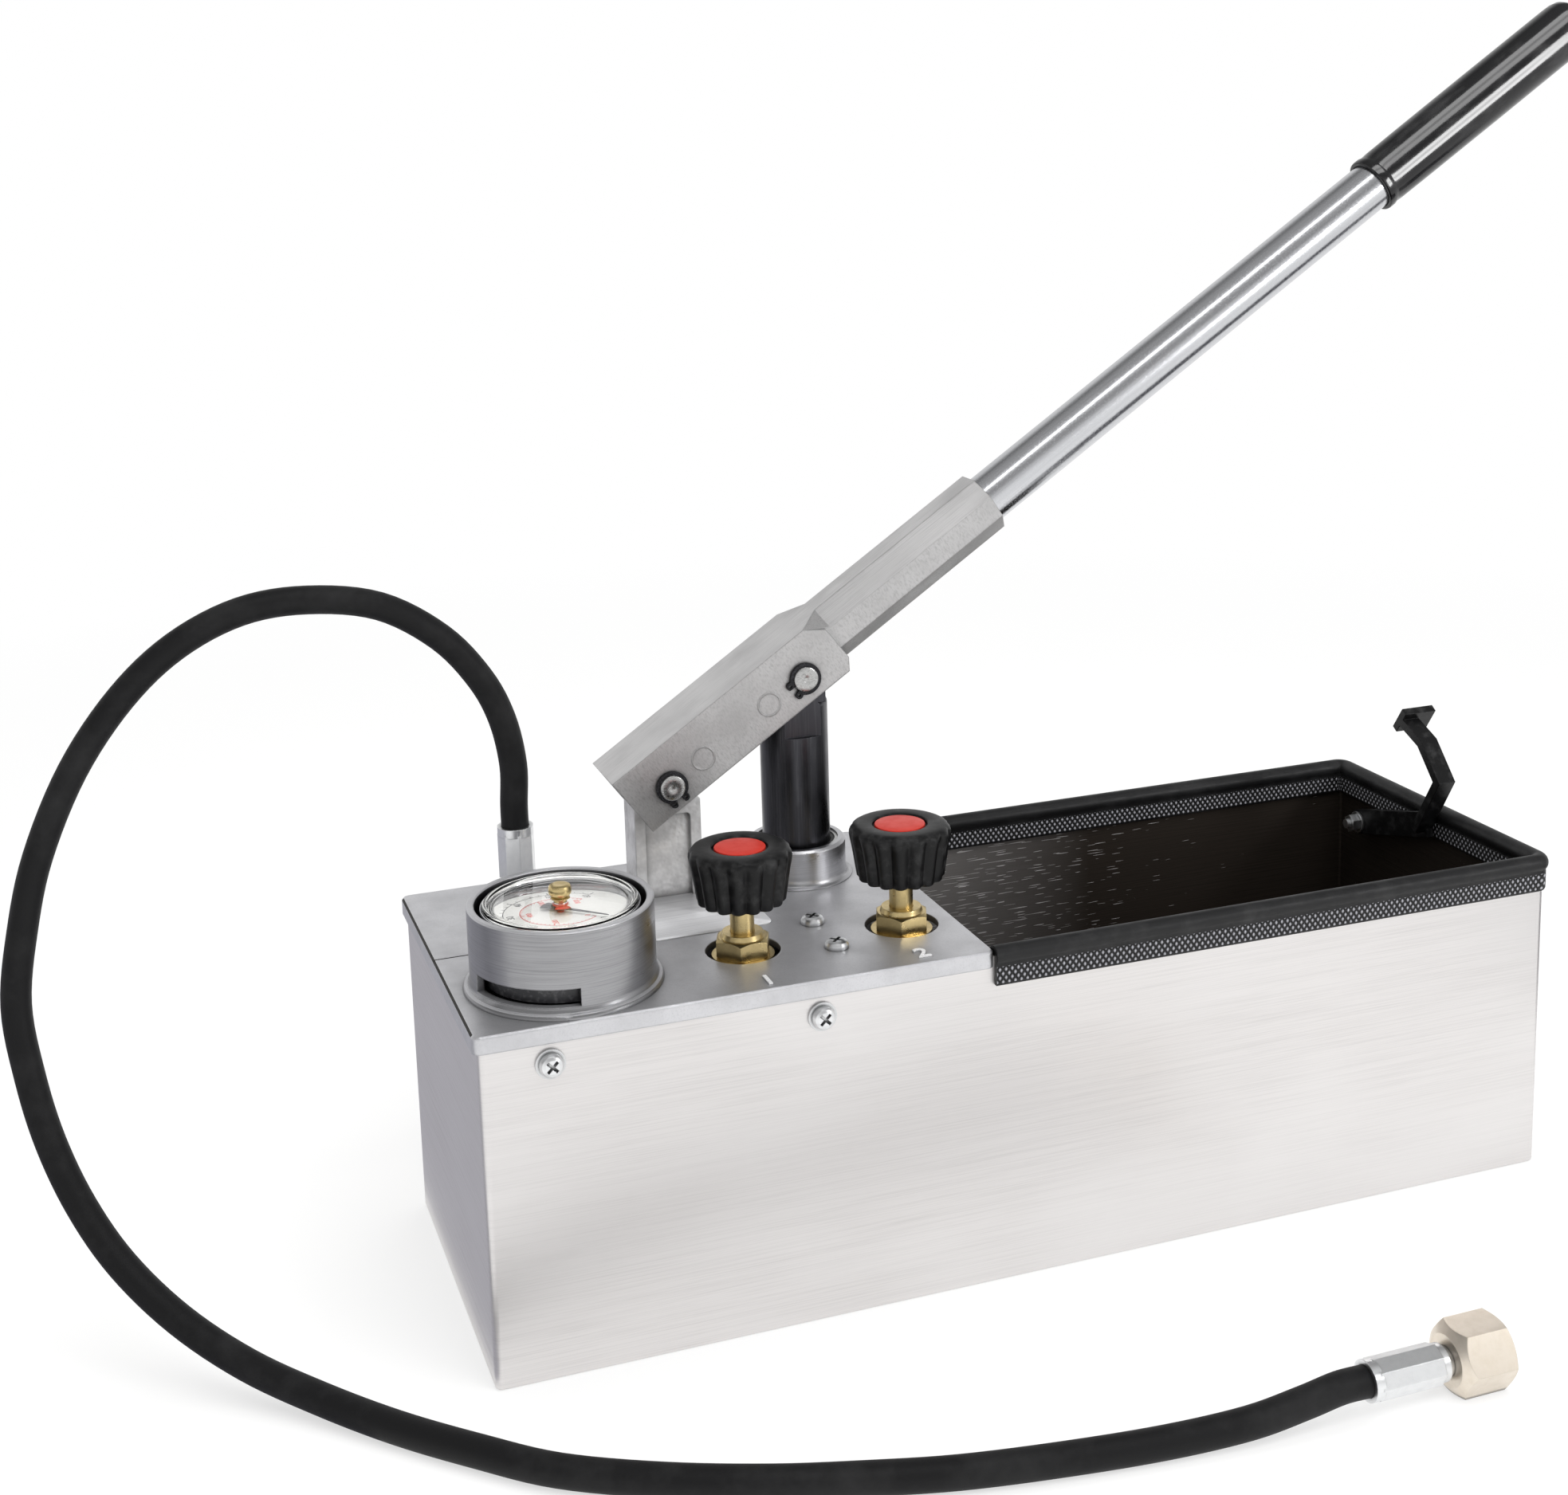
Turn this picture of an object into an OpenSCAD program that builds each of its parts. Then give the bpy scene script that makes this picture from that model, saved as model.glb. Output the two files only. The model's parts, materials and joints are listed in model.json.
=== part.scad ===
// Hand-operated pressure test pump: a sheet tank with a piston pump, two valves,
// a gauge and a hose under one cover, and a long lever that works the piston.
// Frame: origin at the middle of the tank's underside, +X to the right, -Y to the front, +Z up.

/* [Tank] */
// Length of the tank
tank_l = 510; // [480:5:560]
// Width of the tank
tank_w = 166; // [162:1:190]
// Height of the tank to its rim
tank_h = 152; // [146:1:170]
// Thickness of the tank's sheet
sheet_t = 1.5; // [1:0.1:2]
// Outer radius of the tank's folded corners
corner_r = 3; // [2.6:0.2:6]
// Depth of the rim trim's legs below the rim
trim_h = 13; // [9:0.5:16]
// Thickness of the rim trim's legs
trim_t = 2.4; // [1.6:0.2:3.4]
// Radius of the rim trim's smooth top roll
trim_roll_r = 4.3; // [3.8:0.1:5.5]

/* [Cover] */
// Length of the cover from the tank's left end
cover_l = 224; // [215:1:240]
// Thickness of the cover
cover_t = 3; // [2.5:0.1:4]
// Height of the lip that hangs over the rim, with the cover's thickness
lip_h = 7.5; // [6:0.5:10]
// Thickness of the lip
lip_t = 1.8; // [1.2:0.1:3]
// Depth of the skirt that hangs inside the tank, with the cover's thickness
skirt_h = 30; // [24:1:36]
// Thickness of the skirt
skirt_t = 3; // [2:0.1:4]
// Width of the chamfer on the cover's top edge
edge_chamfer = 0.9; // [0.4:0.1:1.4]
// Distance from the tank's left end to the first of the side screws
side_screw_from_left = 29; // [24:1:34]
// Distance between the two side screws on each wall
side_screw_pitch = 116; // [110:1:124]

/* [Gauge] */
// Distance from the tank's left end to the gauge's axis
gauge_from_left = 45.5; // [44:0.5:48]
// Distance from the tank's front to the gauge's axis
gauge_from_front = 41; // [40:0.5:46]
// Outer radius of the gauge's case
gauge_r = 33; // [31:0.5:34]
// Height of the gauge from its back to the top of its bezel
gauge_h = 28; // [25:1:30]
// Inner radius of the cover's collar round the gauge
collar_r = 35.8; // [35.6:0.1:36.4]
// Thickness of the collar's wall
collar_t = 3.2; // [2.4:0.2:4]
// Height of the collar above the cover
collar_h = 36; // [34:1:42]
// Radius of the dial
dial_r = 30; // [27:0.5:30.5]

/* [Valves] */
// Distance from the tank's left end to the first valve's axis
valve_from_left = 125; // [122:1:128]
// Distance between the two valves' axes
valve_pitch = 74; // [70:1:78]
// Distance from the tank's front to the valves' axes
valve_from_front = 42.7; // [40:0.1:46]
// Radius of the holes in the cover round the valves
valve_hole_r = 16.4; // [15.6:0.2:18]
// Diameter of the valve spindles
spindle_d = 10.5; // [9:0.5:11]
// Width across the flats of the gland nuts
gland_af = 22; // [20:1:24]
// Height of the gland nuts' hexagon
gland_h = 8; // [6:0.5:10]
// Largest radius of the knobs
knob_r = 22.5; // [20:0.5:26]
// Height of the knobs
knob_h = 25; // [22:1:30]
// Height of the knobs' tops above the cover
knob_top = 47; // [45:1:55]
// Number of flutes round each knob
knob_flutes = 16; // [10:1:20]
// Radius of the coloured cap on each knob
cap_r = 11.2; // [9:0.2:13]

/* [Piston] */
// Distance from the tank's left end to the piston's axis
piston_from_left = 179; // [176:1:184]
// Distance from the tank's back to the piston's axis
piston_from_back = 43; // [40:0.5:46]
// Diameter of the piston
piston_d = 32; // [30:0.5:33]
// Outer radius of the cover's boss round the piston
boss_r = 23; // [22:0.5:26]
// Height of that boss above the cover
boss_h = 18; // [14:1:20]
// Wall of the cylinder
cylinder_wall = 7; // [5:0.5:9]

/* [Lever] */
// Distance between the lever's two pins
arm = 78.3; // [76:0.1:80]
// Angle of the lever above the horizontal at rest
rest_deg = 33.5; // [31:0.5:34.5]
// Height of the link's pin above the cover
link_pin_h = 56; // [55:0.5:60]
// Diameter of the lever's pins
pin_d = 12; // [10:0.5:13]
// Width of the lever's head
head_w = 35.3; // [34:0.1:40]
// Thickness of the head's cheeks and roof
cheek_t = 4; // [3:0.1:4.4]
// Height of the head above the line through the pins
head_up = 19.2; // [18.6:0.1:22]
// Depth of the head below that line
head_down = 11.4; // [9.5:0.1:12]
// Distance from the link's pin to the lever's end
lever_l = 597; // [560:1:640]
// Diameter of the lever's tube
tube_d = 24; // [22:0.5:24.5]
// Wall of the lever's tube
tube_wall = 2; // [1.5:0.1:3]
// Distance from the link's pin to the end of the tube's socket
socket_end = 200; // [185:1:215]
// Height of the tube's axis above the line through the pins
tube_rise = 5; // [4.6:0.1:5.6]
// Diameter of the grip
grip_d = 28.5; // [27:0.5:32]
// Length of the grip
grip_l = 143; // [120:1:160]

/* [Link] */
// Width of the link
link_w = 31.5; // [30:0.5:33]
// Depth of the link's body
link_d = 18; // [15:0.5:20]
// Distance between the link's two pins
link_l = 81; // [79:0.5:84]
// Width of the link's side flanges
link_flange = 5; // [3.5:0.5:7]
// Depth of the hollows between the flanges
link_hollow = 2.5; // [1:0.25:4.5]

/* [Hose] */
// Distance from the tank's left end to the hose fitting
hose_from_left = 48.4; // [46:0.2:52]
// Distance from the tank's back to the hose fitting
hose_from_back = 25; // [22:0.5:30]
// Outer diameter of the hose
hose_d = 12.7; // [11:0.1:13.5]
// Diameter of the crimped ferrules
ferrule_d = 17; // [15.5:0.5:18]
// Length of the crimped ferrules
ferrule_l = 27; // [22:1:32]
// Width across the flats of the swivel nut
nut_af = 27; // [25:1:30]
// Length of the swivel nut
nut_l = 24; // [20:1:28]
// Radius of the swivel nut's threaded hole
nut_bore_r = 9.32; // [8.4:0.02:9.6]

/* [Hook] */
// Width of the hook's strip
hook_w = 9.5; // [8:0.5:13]
// Thickness of the hook's strip
hook_t = 4.6; // [3.6:0.2:5.4]
// Distance from the tank's back to the hook's screw
hook_from_back = 29; // [27:0.5:33]
// Depth of the hook's screw below the rim
hook_drop = 21.5; // [20:0.5:24]

/* [Hidden] */
$fn = 96;

// Clearances: pieces of one body that seat in each other, running fits, small shafts that slip
// into their holes, and loose pieces.
seat = 0.02;
run = 0.05;
slip = 0.1;
loose = 0.3;
eps = 0.01;

// Planes of the tank and the cover.
left = -tank_l / 2;
right = tank_l / 2;
front = -tank_w / 2;
back = tank_w / 2;
lip_gap = 0.2;
cover_top = tank_h + cover_t;
cover_right = left + cover_l;
cover_edge = lip_t + lip_gap;

// Axes of the pump's parts.
gauge_x = left + gauge_from_left;
gauge_y = front + gauge_from_front;
valve_xs = [left + valve_from_left, left + valve_from_left + valve_pitch];
valve_y = front + valve_from_front;
piston_x = left + piston_from_left;
piston_y = back - piston_from_back;
piston_r = piston_d / 2;
hose_x = left + hose_from_left;
hose_y = back - hose_from_back;

// The lever's frame: its origin is the link's pin, and its X axis runs through both pins.
pin_r = pin_d / 2;
link_x = piston_x - arm * cos(rest_deg);
link_pin_z = cover_top + link_pin_h;
piston_pin_z = link_pin_z + arm * sin(rest_deg);
link_base_z = link_pin_z - link_l;
channel_w = head_w - 2 * cheek_t;

// The lever folds until it is a little below the horizontal and rises a little above rest.
fold_deg = 38.5;
raise_deg = 5.5;
lift_per_deg = 0.074 * 1000 * PI / 180;
rock_ratio = 0.285;
stroke_down = fold_deg * lift_per_deg;

// The pump body's block hangs under the cover.
block_top = cover_top - 9;
block_h = 28;
block_bottom = block_top - block_h;
block_half = 20.5;
block_end = 16;
thread_r = 3;
screw_pitch = 30.4;
screw_x = (valve_xs[0] + valve_xs[1]) / 2 + 1.2;
screw_y = valve_y + 1.6;
cylinder_r = piston_r + cylinder_wall;
chamber_r = piston_r + 0.6;
piston_bottom = block_bottom;
chamber_bottom = piston_bottom - stroke_down - 4;
cylinder_floor = 6;
suction_r = 13;
suction_port_r = 4;

// Hollow rounded block between two corners, and plain shapes that repeat.
module rounded_block(x0, x1, y0, y1, z0, z1, r) {
    translate([0, 0, z0]) linear_extrude(z1 - z0) rounded_plan(x0, x1, y0, y1, r);
}

module rounded_plan(x0, x1, y0, y1, r) {
    translate([x0 + r, y0]) square([x1 - x0 - 2 * r, y1 - y0]);
    translate([x0, y0 + r]) square([x1 - x0, y1 - y0 - 2 * r]);
    for (x = [x0 + r, x1 - r], y = [y0 + r, y1 - r]) translate([x, y]) circle(r);
}

module block(x0, x1, y0, y1, z0, z1) {
    translate([x0, y0, z0]) cube([x1 - x0, y1 - y0, z1 - z0]);
}

module rod(x, y, z0, z1, r) {
    translate([x, y, z0]) cylinder(h = z1 - z0, r = r);
}

module ring(z0, z1, r_in, r_out) {
    difference() {
        translate([0, 0, z0]) cylinder(h = z1 - z0, r = r_out);
        translate([0, 0, z0 - 1]) cylinder(h = z1 - z0 + 2, r = r_in);
    }
}

// Bar along Y, from y0 to y1 through (x, z).
module cross_rod(x, z, y0, y1, r) {
    translate([x, y1, z]) rotate([90, 0, 0]) cylinder(h = y1 - y0, r = r);
}

// Places children in the lever's frame.
module on_lever() {
    translate([link_x, piston_y, link_pin_z]) rotate([0, -rest_deg, 0]) children();
}

// Flat strip of one thickness along a chain of points, with mitred bends and square ends.
module ribbon(points, t) {
    n = len(points);
    sides = [for (i = [0:n - 1])
        let (a = unit(points[i] - points[max(i - 1, 0)] + (i == 0 ? points[1] - points[0] : [0, 0])),
            b = unit(points[min(i + 1, n - 1)] - points[i]
                + (i == n - 1 ? points[i] - points[i - 1] : [0, 0])),
            middle = unit(a + b), normal = [-middle[1], middle[0]])
            normal * t / 2 / (a * middle)];
    polygon([for (i = [0:n - 1]) points[i] + sides[i], for (i = [n - 1:-1:0]) points[i] - sides[i]]);
}

// Bar along +X from a round end at the origin.
module round_bar(length, w) {
    polygon([[length, -w / 2], [length, w / 2], for (a = [90:10:270]) w / 2 * [cos(a), sin(a)]]);
}

// Pan-head screw that points along -Z from the plane z = 0, with a cross recess in its head.
module pan_screw(head_r, head_h, shank_r, shank_l) {
    difference() {
        union() {
            rotate_extrude() polygon([[0, 0], [head_r, 0], [head_r, head_h * 0.45],
                [head_r * 0.86, head_h * 0.8], [head_r * 0.6, head_h], [0, head_h]]);
            translate([0, 0, -shank_l]) cylinder(h = shank_l + eps, r = shank_r);
        }
        for (a = [45, 135]) rotate(a)
            translate([-head_r * 0.6, -head_r * 0.13, head_h * 0.4])
                cube([head_r * 1.2, head_r * 0.26, head_h]);
    }
}

// ---- Tank and cover ----

// Places of the four screws that hold the cover to the tank's long walls.
side_screw_xs = [left + side_screw_from_left, left + side_screw_from_left + side_screw_pitch];
side_screw_z = cover_top - 16.5;
side_screw_r = 2.5;
washer_t = 1.2;
washer_r = 6.3;

module side_screw_places() {
    for (x = side_screw_xs, side = [-1, 1])
        translate([x, side * tank_w / 2, side_screw_z]) rotate([-side * 90, 0, 0]) children();
}

hook_y = back - hook_from_back;
hook_z = tank_h - hook_drop;
hook_screw_r = 2.5;

module tank_walls() {
    difference() {
        rounded_block(left, right, front, back, 0, tank_h, corner_r);
        rounded_block(left + sheet_t, right - sheet_t, front + sheet_t, back - sheet_t,
            sheet_t, tank_h + 1, corner_r - sheet_t);
    }
}

module tank() {
    color("silver") difference() {
        tank_walls();
        side_screw_places() translate([0, 0, -10]) cylinder(h = 20, r = side_screw_r + loose);
        translate([right - 10, hook_y, hook_z]) rotate([0, 90, 0])
            cylinder(h = 20, r = hook_screw_r + seat);
    }
}

// Section of the rim trim: a roll on the rim and a leg down each side of the sheet.
module trim_section() {
    circle(trim_roll_r, $fn = 64);
    translate([-sheet_t / 2 - trim_t, -trim_h]) square([sheet_t + 2 * trim_t, trim_h]);
}

// The trim runs round the open part of the rim, with rounded corners at the right end.
module rim_trim() {
    turn_r = trim_roll_r + 0.5;
    start = cover_right + lip_gap;
    line_x = right - sheet_t / 2;
    line_y = tank_w / 2 - sheet_t / 2;
    color("dimgray") difference() {
        union() {
            for (side = [-1, 1]) {
                translate([start, side * line_y, tank_h]) rotate([90, 0, 90])
                    linear_extrude(line_x - turn_r - start) trim_section();
                translate([line_x - turn_r, side * (line_y - turn_r), tank_h])
                    rotate(side < 0 ? -90 : 0) rotate_extrude(angle = 90)
                        translate([turn_r, 0]) trim_section();
            }
            translate([line_x, line_y - turn_r, tank_h]) rotate([90, 0, 0])
                linear_extrude(2 * (line_y - turn_r)) trim_section();
        }
        tank_walls();
    }
}

bush_r = piston_r + 3.4;

// How far the link's side reaches from its pivot's middle at the cover's top, as it leans.
function link_reach(lever_turn) = link_w / 2 * cos(lever_turn * rock_ratio)
    + (cover_top - link_base_z) * abs(sin(lever_turn * rock_ratio));
link_slot_left = link_reach(-fold_deg) + 0.8;
link_slot_right = link_reach(raise_deg) + 0.8;
slot_side = 0.6;
slot_corner_r = 1.2;
stem_r = 9;

// Turned outline of the collar with its foot flange and the step above it.
module collar() {
    outer = collar_r + collar_t;
    rotate_extrude() polygon([[collar_r, -cover_t + eps], [outer + 3, -cover_t + eps],
        [outer + 3, 0.8], [outer + 2.4, 1.8], [outer + 1, 2.4], [outer + 0.4, 3.4], [outer, 5],
        [outer, collar_h - 0.6], [outer - 0.6, collar_h], [collar_r + 0.5, collar_h],
        [collar_r, collar_h - 0.5]]);
}

// Turned outline of the boss that the piston comes out of.
module boss() {
    rotate_extrude() polygon([[bush_r + slip, -cover_t + eps], [boss_r + 3, -cover_t + eps],
        [boss_r + 3, 0.4], [boss_r + 1.2, 1], [boss_r + 0.3, 2.2], [boss_r, 4],
        [boss_r, boss_h - 1.2], [boss_r - 1.2, boss_h], [bush_r + slip, boss_h]]);
}

module cover_plate() {
    x0 = left - cover_edge;
    y0 = front - cover_edge;
    hull() {
        rounded_block(x0, cover_right, y0, -y0, tank_h, cover_top - edge_chamfer, 4, $fn = 32);
        rounded_block(x0 + edge_chamfer, cover_right - edge_chamfer,
            y0 + edge_chamfer, -y0 - edge_chamfer, tank_h, cover_top, 4 - edge_chamfer, $fn = 32);
    }
}

module cover_rims() {
    x0 = left - cover_edge;
    y0 = front - cover_edge;
    in_x = left + sheet_t + loose;
    in_y = front + sheet_t + loose;
    difference() {
        rounded_block(x0, cover_right, y0, -y0, cover_top - lip_h, tank_h + eps, 4);
        rounded_block(left - lip_gap, cover_right + 9, front - lip_gap, back + lip_gap,
            cover_top - lip_h - 1, tank_h + 1, corner_r);
    }
    difference() {
        rounded_block(in_x, cover_right + corner_r, in_y, -in_y, cover_top - skirt_h, tank_h + eps,
            corner_r);
        block(in_x + skirt_t, cover_right + 9, in_y + skirt_t, -in_y - skirt_t,
            cover_top - skirt_h - 1, tank_h + 1);
        block(cover_right, cover_right + 9, in_y - 1, 1 - in_y, cover_top - skirt_h - 1, tank_h + 1);
    }
    block(cover_right - lip_t, cover_right, in_y, -in_y, cover_top - lip_h, tank_h + eps);
}

module cover() {
    slot_low = 4.5;
    slot_high = 12;
    color("darkgray") difference() {
        union() {
            cover_plate();
            cover_rims();
            translate([gauge_x, gauge_y, cover_top]) collar();
            translate([piston_x, piston_y, cover_top]) boss();
        }
        // The collar's slot faces the front and the left.
        translate([gauge_x, gauge_y, cover_top + slot_low]) linear_extrude(slot_high - slot_low)
            polygon([[0, 0], 60 * [cos(192), sin(192)], 60 * [cos(230), sin(230)],
                60 * [cos(267), sin(267)]]);
        rod(gauge_x, gauge_y, tank_h - 1, cover_top + 1, stem_r + loose);
        for (x = valve_xs) rod(x, valve_y, tank_h - 1, cover_top + 1, valve_hole_r);
        rod(piston_x, piston_y, tank_h - 1, cover_top + 1, bush_r + slip);
        rod(hose_x, hose_y, tank_h - 1, cover_top + 1, nipple_r + loose);
        rounded_block(link_x - link_slot_left, link_x + link_slot_right,
            piston_y - link_d / 2 - slot_side, piston_y + link_d / 2 + slot_side,
            tank_h - 1, cover_top + 1, slot_corner_r);
        for (side = [-1, 1])
            rod(screw_x, screw_y + side * screw_pitch / 2, tank_h - 1, cover_top + 1, thread_r);
        side_screw_places() translate([0, 0, -12]) cylinder(h = 13, r = side_screw_r + slip);
        // Shallow groove from the left edge to behind the collar.
        block(left - 9, gauge_x - 9, 0.6, 1.4, cover_top - 0.6, cover_top + 1);
    }
}

module side_washers() {
    color("gainsboro") side_screw_places() ring(0, washer_t, side_screw_r + seat, washer_r);
}

module side_screws() {
    color("gainsboro") side_screw_places()
        translate([0, 0, washer_t]) pan_screw(5, 3.6, side_screw_r, 8.5);
}

module cover_screws() {
    color("gainsboro") for (side = [-1, 1])
        translate([screw_x, screw_y + side * screw_pitch / 2, cover_top])
            pan_screw(5.2, 3.6, thread_r - seat, 20);
}

// ---- Pump body and its inner parts ----

check_x = piston_x;
check_y = (valve_y + piston_y) / 2;
check_seat_z = block_bottom + 8;
check_r = 4;
check_lift = 2;
check_bore_r = 5.2;
spring_top = block_top - 7;
bonnet_r = 9;
tip_r = 4;
tip_seat_z = block_bottom + 10;
lug_t = 4;
clevis_half = link_d / 2 + loose;
nipple_r = 7.5;

module on_suction() {
    translate([piston_x, piston_y, 0]) children();
}

module pump_body() {
    x0 = gauge_x - block_end;
    x1 = valve_xs[1] + block_end;
    y0 = valve_y - block_half;
    bar_half = clevis_half + lug_t;
    color("lightgray") difference() {
        union() {
            // Valve block, with raised pads up to the cover.
            rounded_block(x0, x1, y0, valve_y + block_half, block_bottom, block_top, 5);
            for (side = [-1, 1])
                rod(screw_x, screw_y + side * screw_pitch / 2, block_top - 1, tank_h, 5.2);
            // Bridge to the cylinder, and the arm to the hose fitting.
            block(piston_x - block_end, piston_x + block_end, valve_y + block_half - 3, piston_y,
                block_bottom, block_top);
            rounded_block(hose_x - 14, hose_x + 14, valve_y + block_half - 8, hose_y + 13,
                block_bottom, block_top, 4);
            rod(hose_x, hose_y, block_top - 1, tank_h, nipple_r + 4);
            // Clevis bar for the link.
            block(hose_x, piston_x, piston_y - bar_half, piston_y + bar_half,
                link_base_z - 14, block_top);
            // Cylinder.
            rod(piston_x, piston_y, chamber_bottom - cylinder_floor, tank_h, cylinder_r);
        }
        rod(piston_x, piston_y, chamber_bottom, tank_h + 1, chamber_r);
        rod(piston_x, piston_y, tank_h - 12, tank_h + 1, bush_r + slip);
        rod(piston_x, piston_y, chamber_bottom - cylinder_floor - 1, chamber_bottom + 1, suction_port_r);
        // Pocket and bore for the link.
        block(link_x - link_slot_left, link_x + link_slot_right, piston_y - clevis_half,
            piston_y + clevis_half, link_base_z - 30, block_top + 1);
        cross_rod(link_x, link_base_z, piston_y - 40, piston_y + 40, pin_r + seat);
        // Valve bores, the gauge's port and the hose's port.
        for (x = valve_xs) {
            rod(x, valve_y, block_top - 14, block_top + 1, bonnet_r + seat);
            rod(x, valve_y, tip_seat_z, block_top, spindle_d / 2 + 0.6);
            rod(x, valve_y, block_bottom + 5, tip_seat_z + 1, 2.5);
        }
        rod(gauge_x, gauge_y, block_bottom + 12, block_top + 1, 6.5 + seat);
        rod(hose_x, hose_y, block_bottom + 12, tank_h + 1, 6 + seat);
        // Pressure valve's bore, and the screws' holes.
        rod(check_x, check_y, check_seat_z, block_top + 1, check_bore_r);
        rod(check_x, check_y, block_bottom + 3, check_seat_z + 1, 2.5);
        for (side = [-1, 1])
            rod(screw_x, screw_y + side * screw_pitch / 2, cover_top - 22, tank_h + 1, thread_r);
    }
}

module guide_bush() {
    color("gray") translate([piston_x, piston_y, 0]) difference() {
        ring(tank_h - 12 + seat, cover_top + boss_h - 0.8, piston_r + run, bush_r);
        translate([0, 0, cover_top + boss_h - 5]) cylinder(h = 6, r = piston_r + 2);
    }
}

module wiper_ring() {
    z1 = cover_top + boss_h - 1.4;
    color("dimgray") translate([piston_x, piston_y, 0])
        ring(z1 - 3.6, z1, piston_r + 0.12, piston_r + 2 - seat);
}

suction_ball_r = 6;
suction_lift = 2.5;
suction_top = chamber_bottom - cylinder_floor;
ball_z = suction_top - 3.5 - suction_lift - suction_ball_r;

module suction_body() {
    seat_z = ball_z - suction_ball_r * 0.8;
    color("peru") on_suction() difference() {
        union() {
            translate([0, 0, seat_z - 6]) cylinder(h = suction_top - seat_z + 6, r = suction_r);
            translate([0, 0, suction_top - 8]) cylinder(h = 8, r = suction_r + 2.5, $fn = 6);
        }
        translate([0, 0, seat_z]) cylinder(h = suction_top - seat_z - 3, r = suction_ball_r + 0.6);
        translate([0, 0, seat_z - 7]) cylinder(h = 9, r = suction_ball_r * 0.6 + seat);
        translate([0, 0, suction_top - 4]) cylinder(h = 5, r = suction_port_r);
    }
}

module suction_ball() {
    color("silver") on_suction() translate([0, 0, ball_z]) sphere(suction_ball_r);
}

// Slotted strainer cup that reaches down to just above the tank's floor.
module strainer() {
    z1 = ball_z - suction_ball_r * 0.8 - 6;
    z0 = sheet_t + 5;
    r = suction_r + 1;
    color("silver") on_suction() difference() {
        union() {
            translate([0, 0, z0]) cylinder(h = z1 - z0, r = r);
            translate([0, 0, z1 - eps]) ring(0, 5, suction_r + seat, r + 1);
        }
        translate([0, 0, z0 + 1.2]) cylinder(h = z1 - z0, r = r - 1.5);
        for (a = [0:30:150]) rotate(a)
            translate([-r - 1, -1, z0 + 3]) cube([2 * r + 2, 2, max(z1 - z0 - 7, 1)]);
    }
}

module check_ball() {
    color("silver") translate([check_x, check_y, check_seat_z + check_r * 0.8 + eps]) sphere(check_r);
}

// Coil spring drawn as a short stack of turns joined by a thin sleeve.
module check_spring() {
    z0 = check_seat_z + check_r * 1.8 + 0.1;
    h = spring_top - z0;
    color("silver") translate([check_x, check_y, 0]) {
        ring(z0, spring_top, 3.1, 3.5);
        for (i = [0:4]) translate([0, 0, z0 + i * (h - 0.8) / 4]) ring(0, 0.8, 3.1, 3.9);
    }
}

module check_plug() {
    color("peru") translate([check_x, check_y, 0]) difference() {
        union() {
            translate([0, 0, spring_top]) cylinder(h = block_top - spring_top, r = check_bore_r - seat);
            translate([0, 0, block_top]) cylinder(h = 3.5, r = 7.5, $fn = 6);
        }
        translate([0, 0, block_top + 1]) cylinder(h = 4, r = 2.5, $fn = 6);
    }
}

module link_base_pin() {
    half = clevis_half + lug_t;
    color("silver") cross_rod(link_x, link_base_z, piston_y - half, piston_y + half, pin_r);
}

// ---- Valves ----

bonnet_top = cover_top - 1.5;

module valve_bonnet(x) {
    color("goldenrod") translate([x, valve_y, 0]) difference() {
        union() {
            translate([0, 0, block_top]) cylinder(h = bonnet_top - block_top, r = gland_af * 0.62);
            translate([0, 0, block_top - 12]) cylinder(h = 12 + eps, r = bonnet_r);
        }
        translate([0, 0, block_top - 13]) cylinder(h = 40, r = spindle_d / 2 + run);
        translate([0, 0, bonnet_top - 4]) cylinder(h = 5, r = spindle_d / 2 + 2);
    }
}

module valve_packing(x) {
    color("ivory") translate([x, valve_y, 0])
        ring(bonnet_top - 4 + seat, bonnet_top - seat, spindle_d / 2 + 0.15, spindle_d / 2 + 2 - seat);
}

module valve_gland_nut(x) {
    r = gland_af / sqrt(3);
    color("goldenrod") translate([x, valve_y, bonnet_top]) difference() {
        intersection() {
            rotate(8) cylinder(h = gland_h + 2.5, r = r, $fn = 6);
            rotate_extrude() polygon([[0, 0], [r - 1, 0], [r + 0.1, 1], [r + 0.1, gland_h - 1.2],
                [gland_af / 2 - 0.3, gland_h], [gland_af / 2 - 1.5, gland_h],
                [gland_af / 2 - 2.2, gland_h + 2.2], [0, gland_h + 2.2]]);
        }
        translate([0, 0, -1]) cylinder(h = gland_h + 5, r = spindle_d / 2 + run);
    }
}

// The cone tip only rises and falls, and the spindle turns on it.
module valve_tip(x) {
    color("goldenrod") translate([x, valve_y, tip_seat_z]) rotate_extrude()
        polygon([[0, -1], [2.2, -1], [2.3, 0.05], [tip_r, 1.6], [tip_r, 6 - seat], [0, 6 - seat]]);
}

module valve_spindle(x) {
    r = spindle_d / 2;
    color("goldenrod") translate([x, valve_y, 0]) rotate_extrude() polygon([
        [0, tip_seat_z + 6], [r - 0.6, tip_seat_z + 6], [r, tip_seat_z + 6.6],
        [r, cover_top + knob_top - 8], [r - 1.5, cover_top + knob_top - 6.5],
        [0, cover_top + knob_top - 6.5]]);
}

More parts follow.
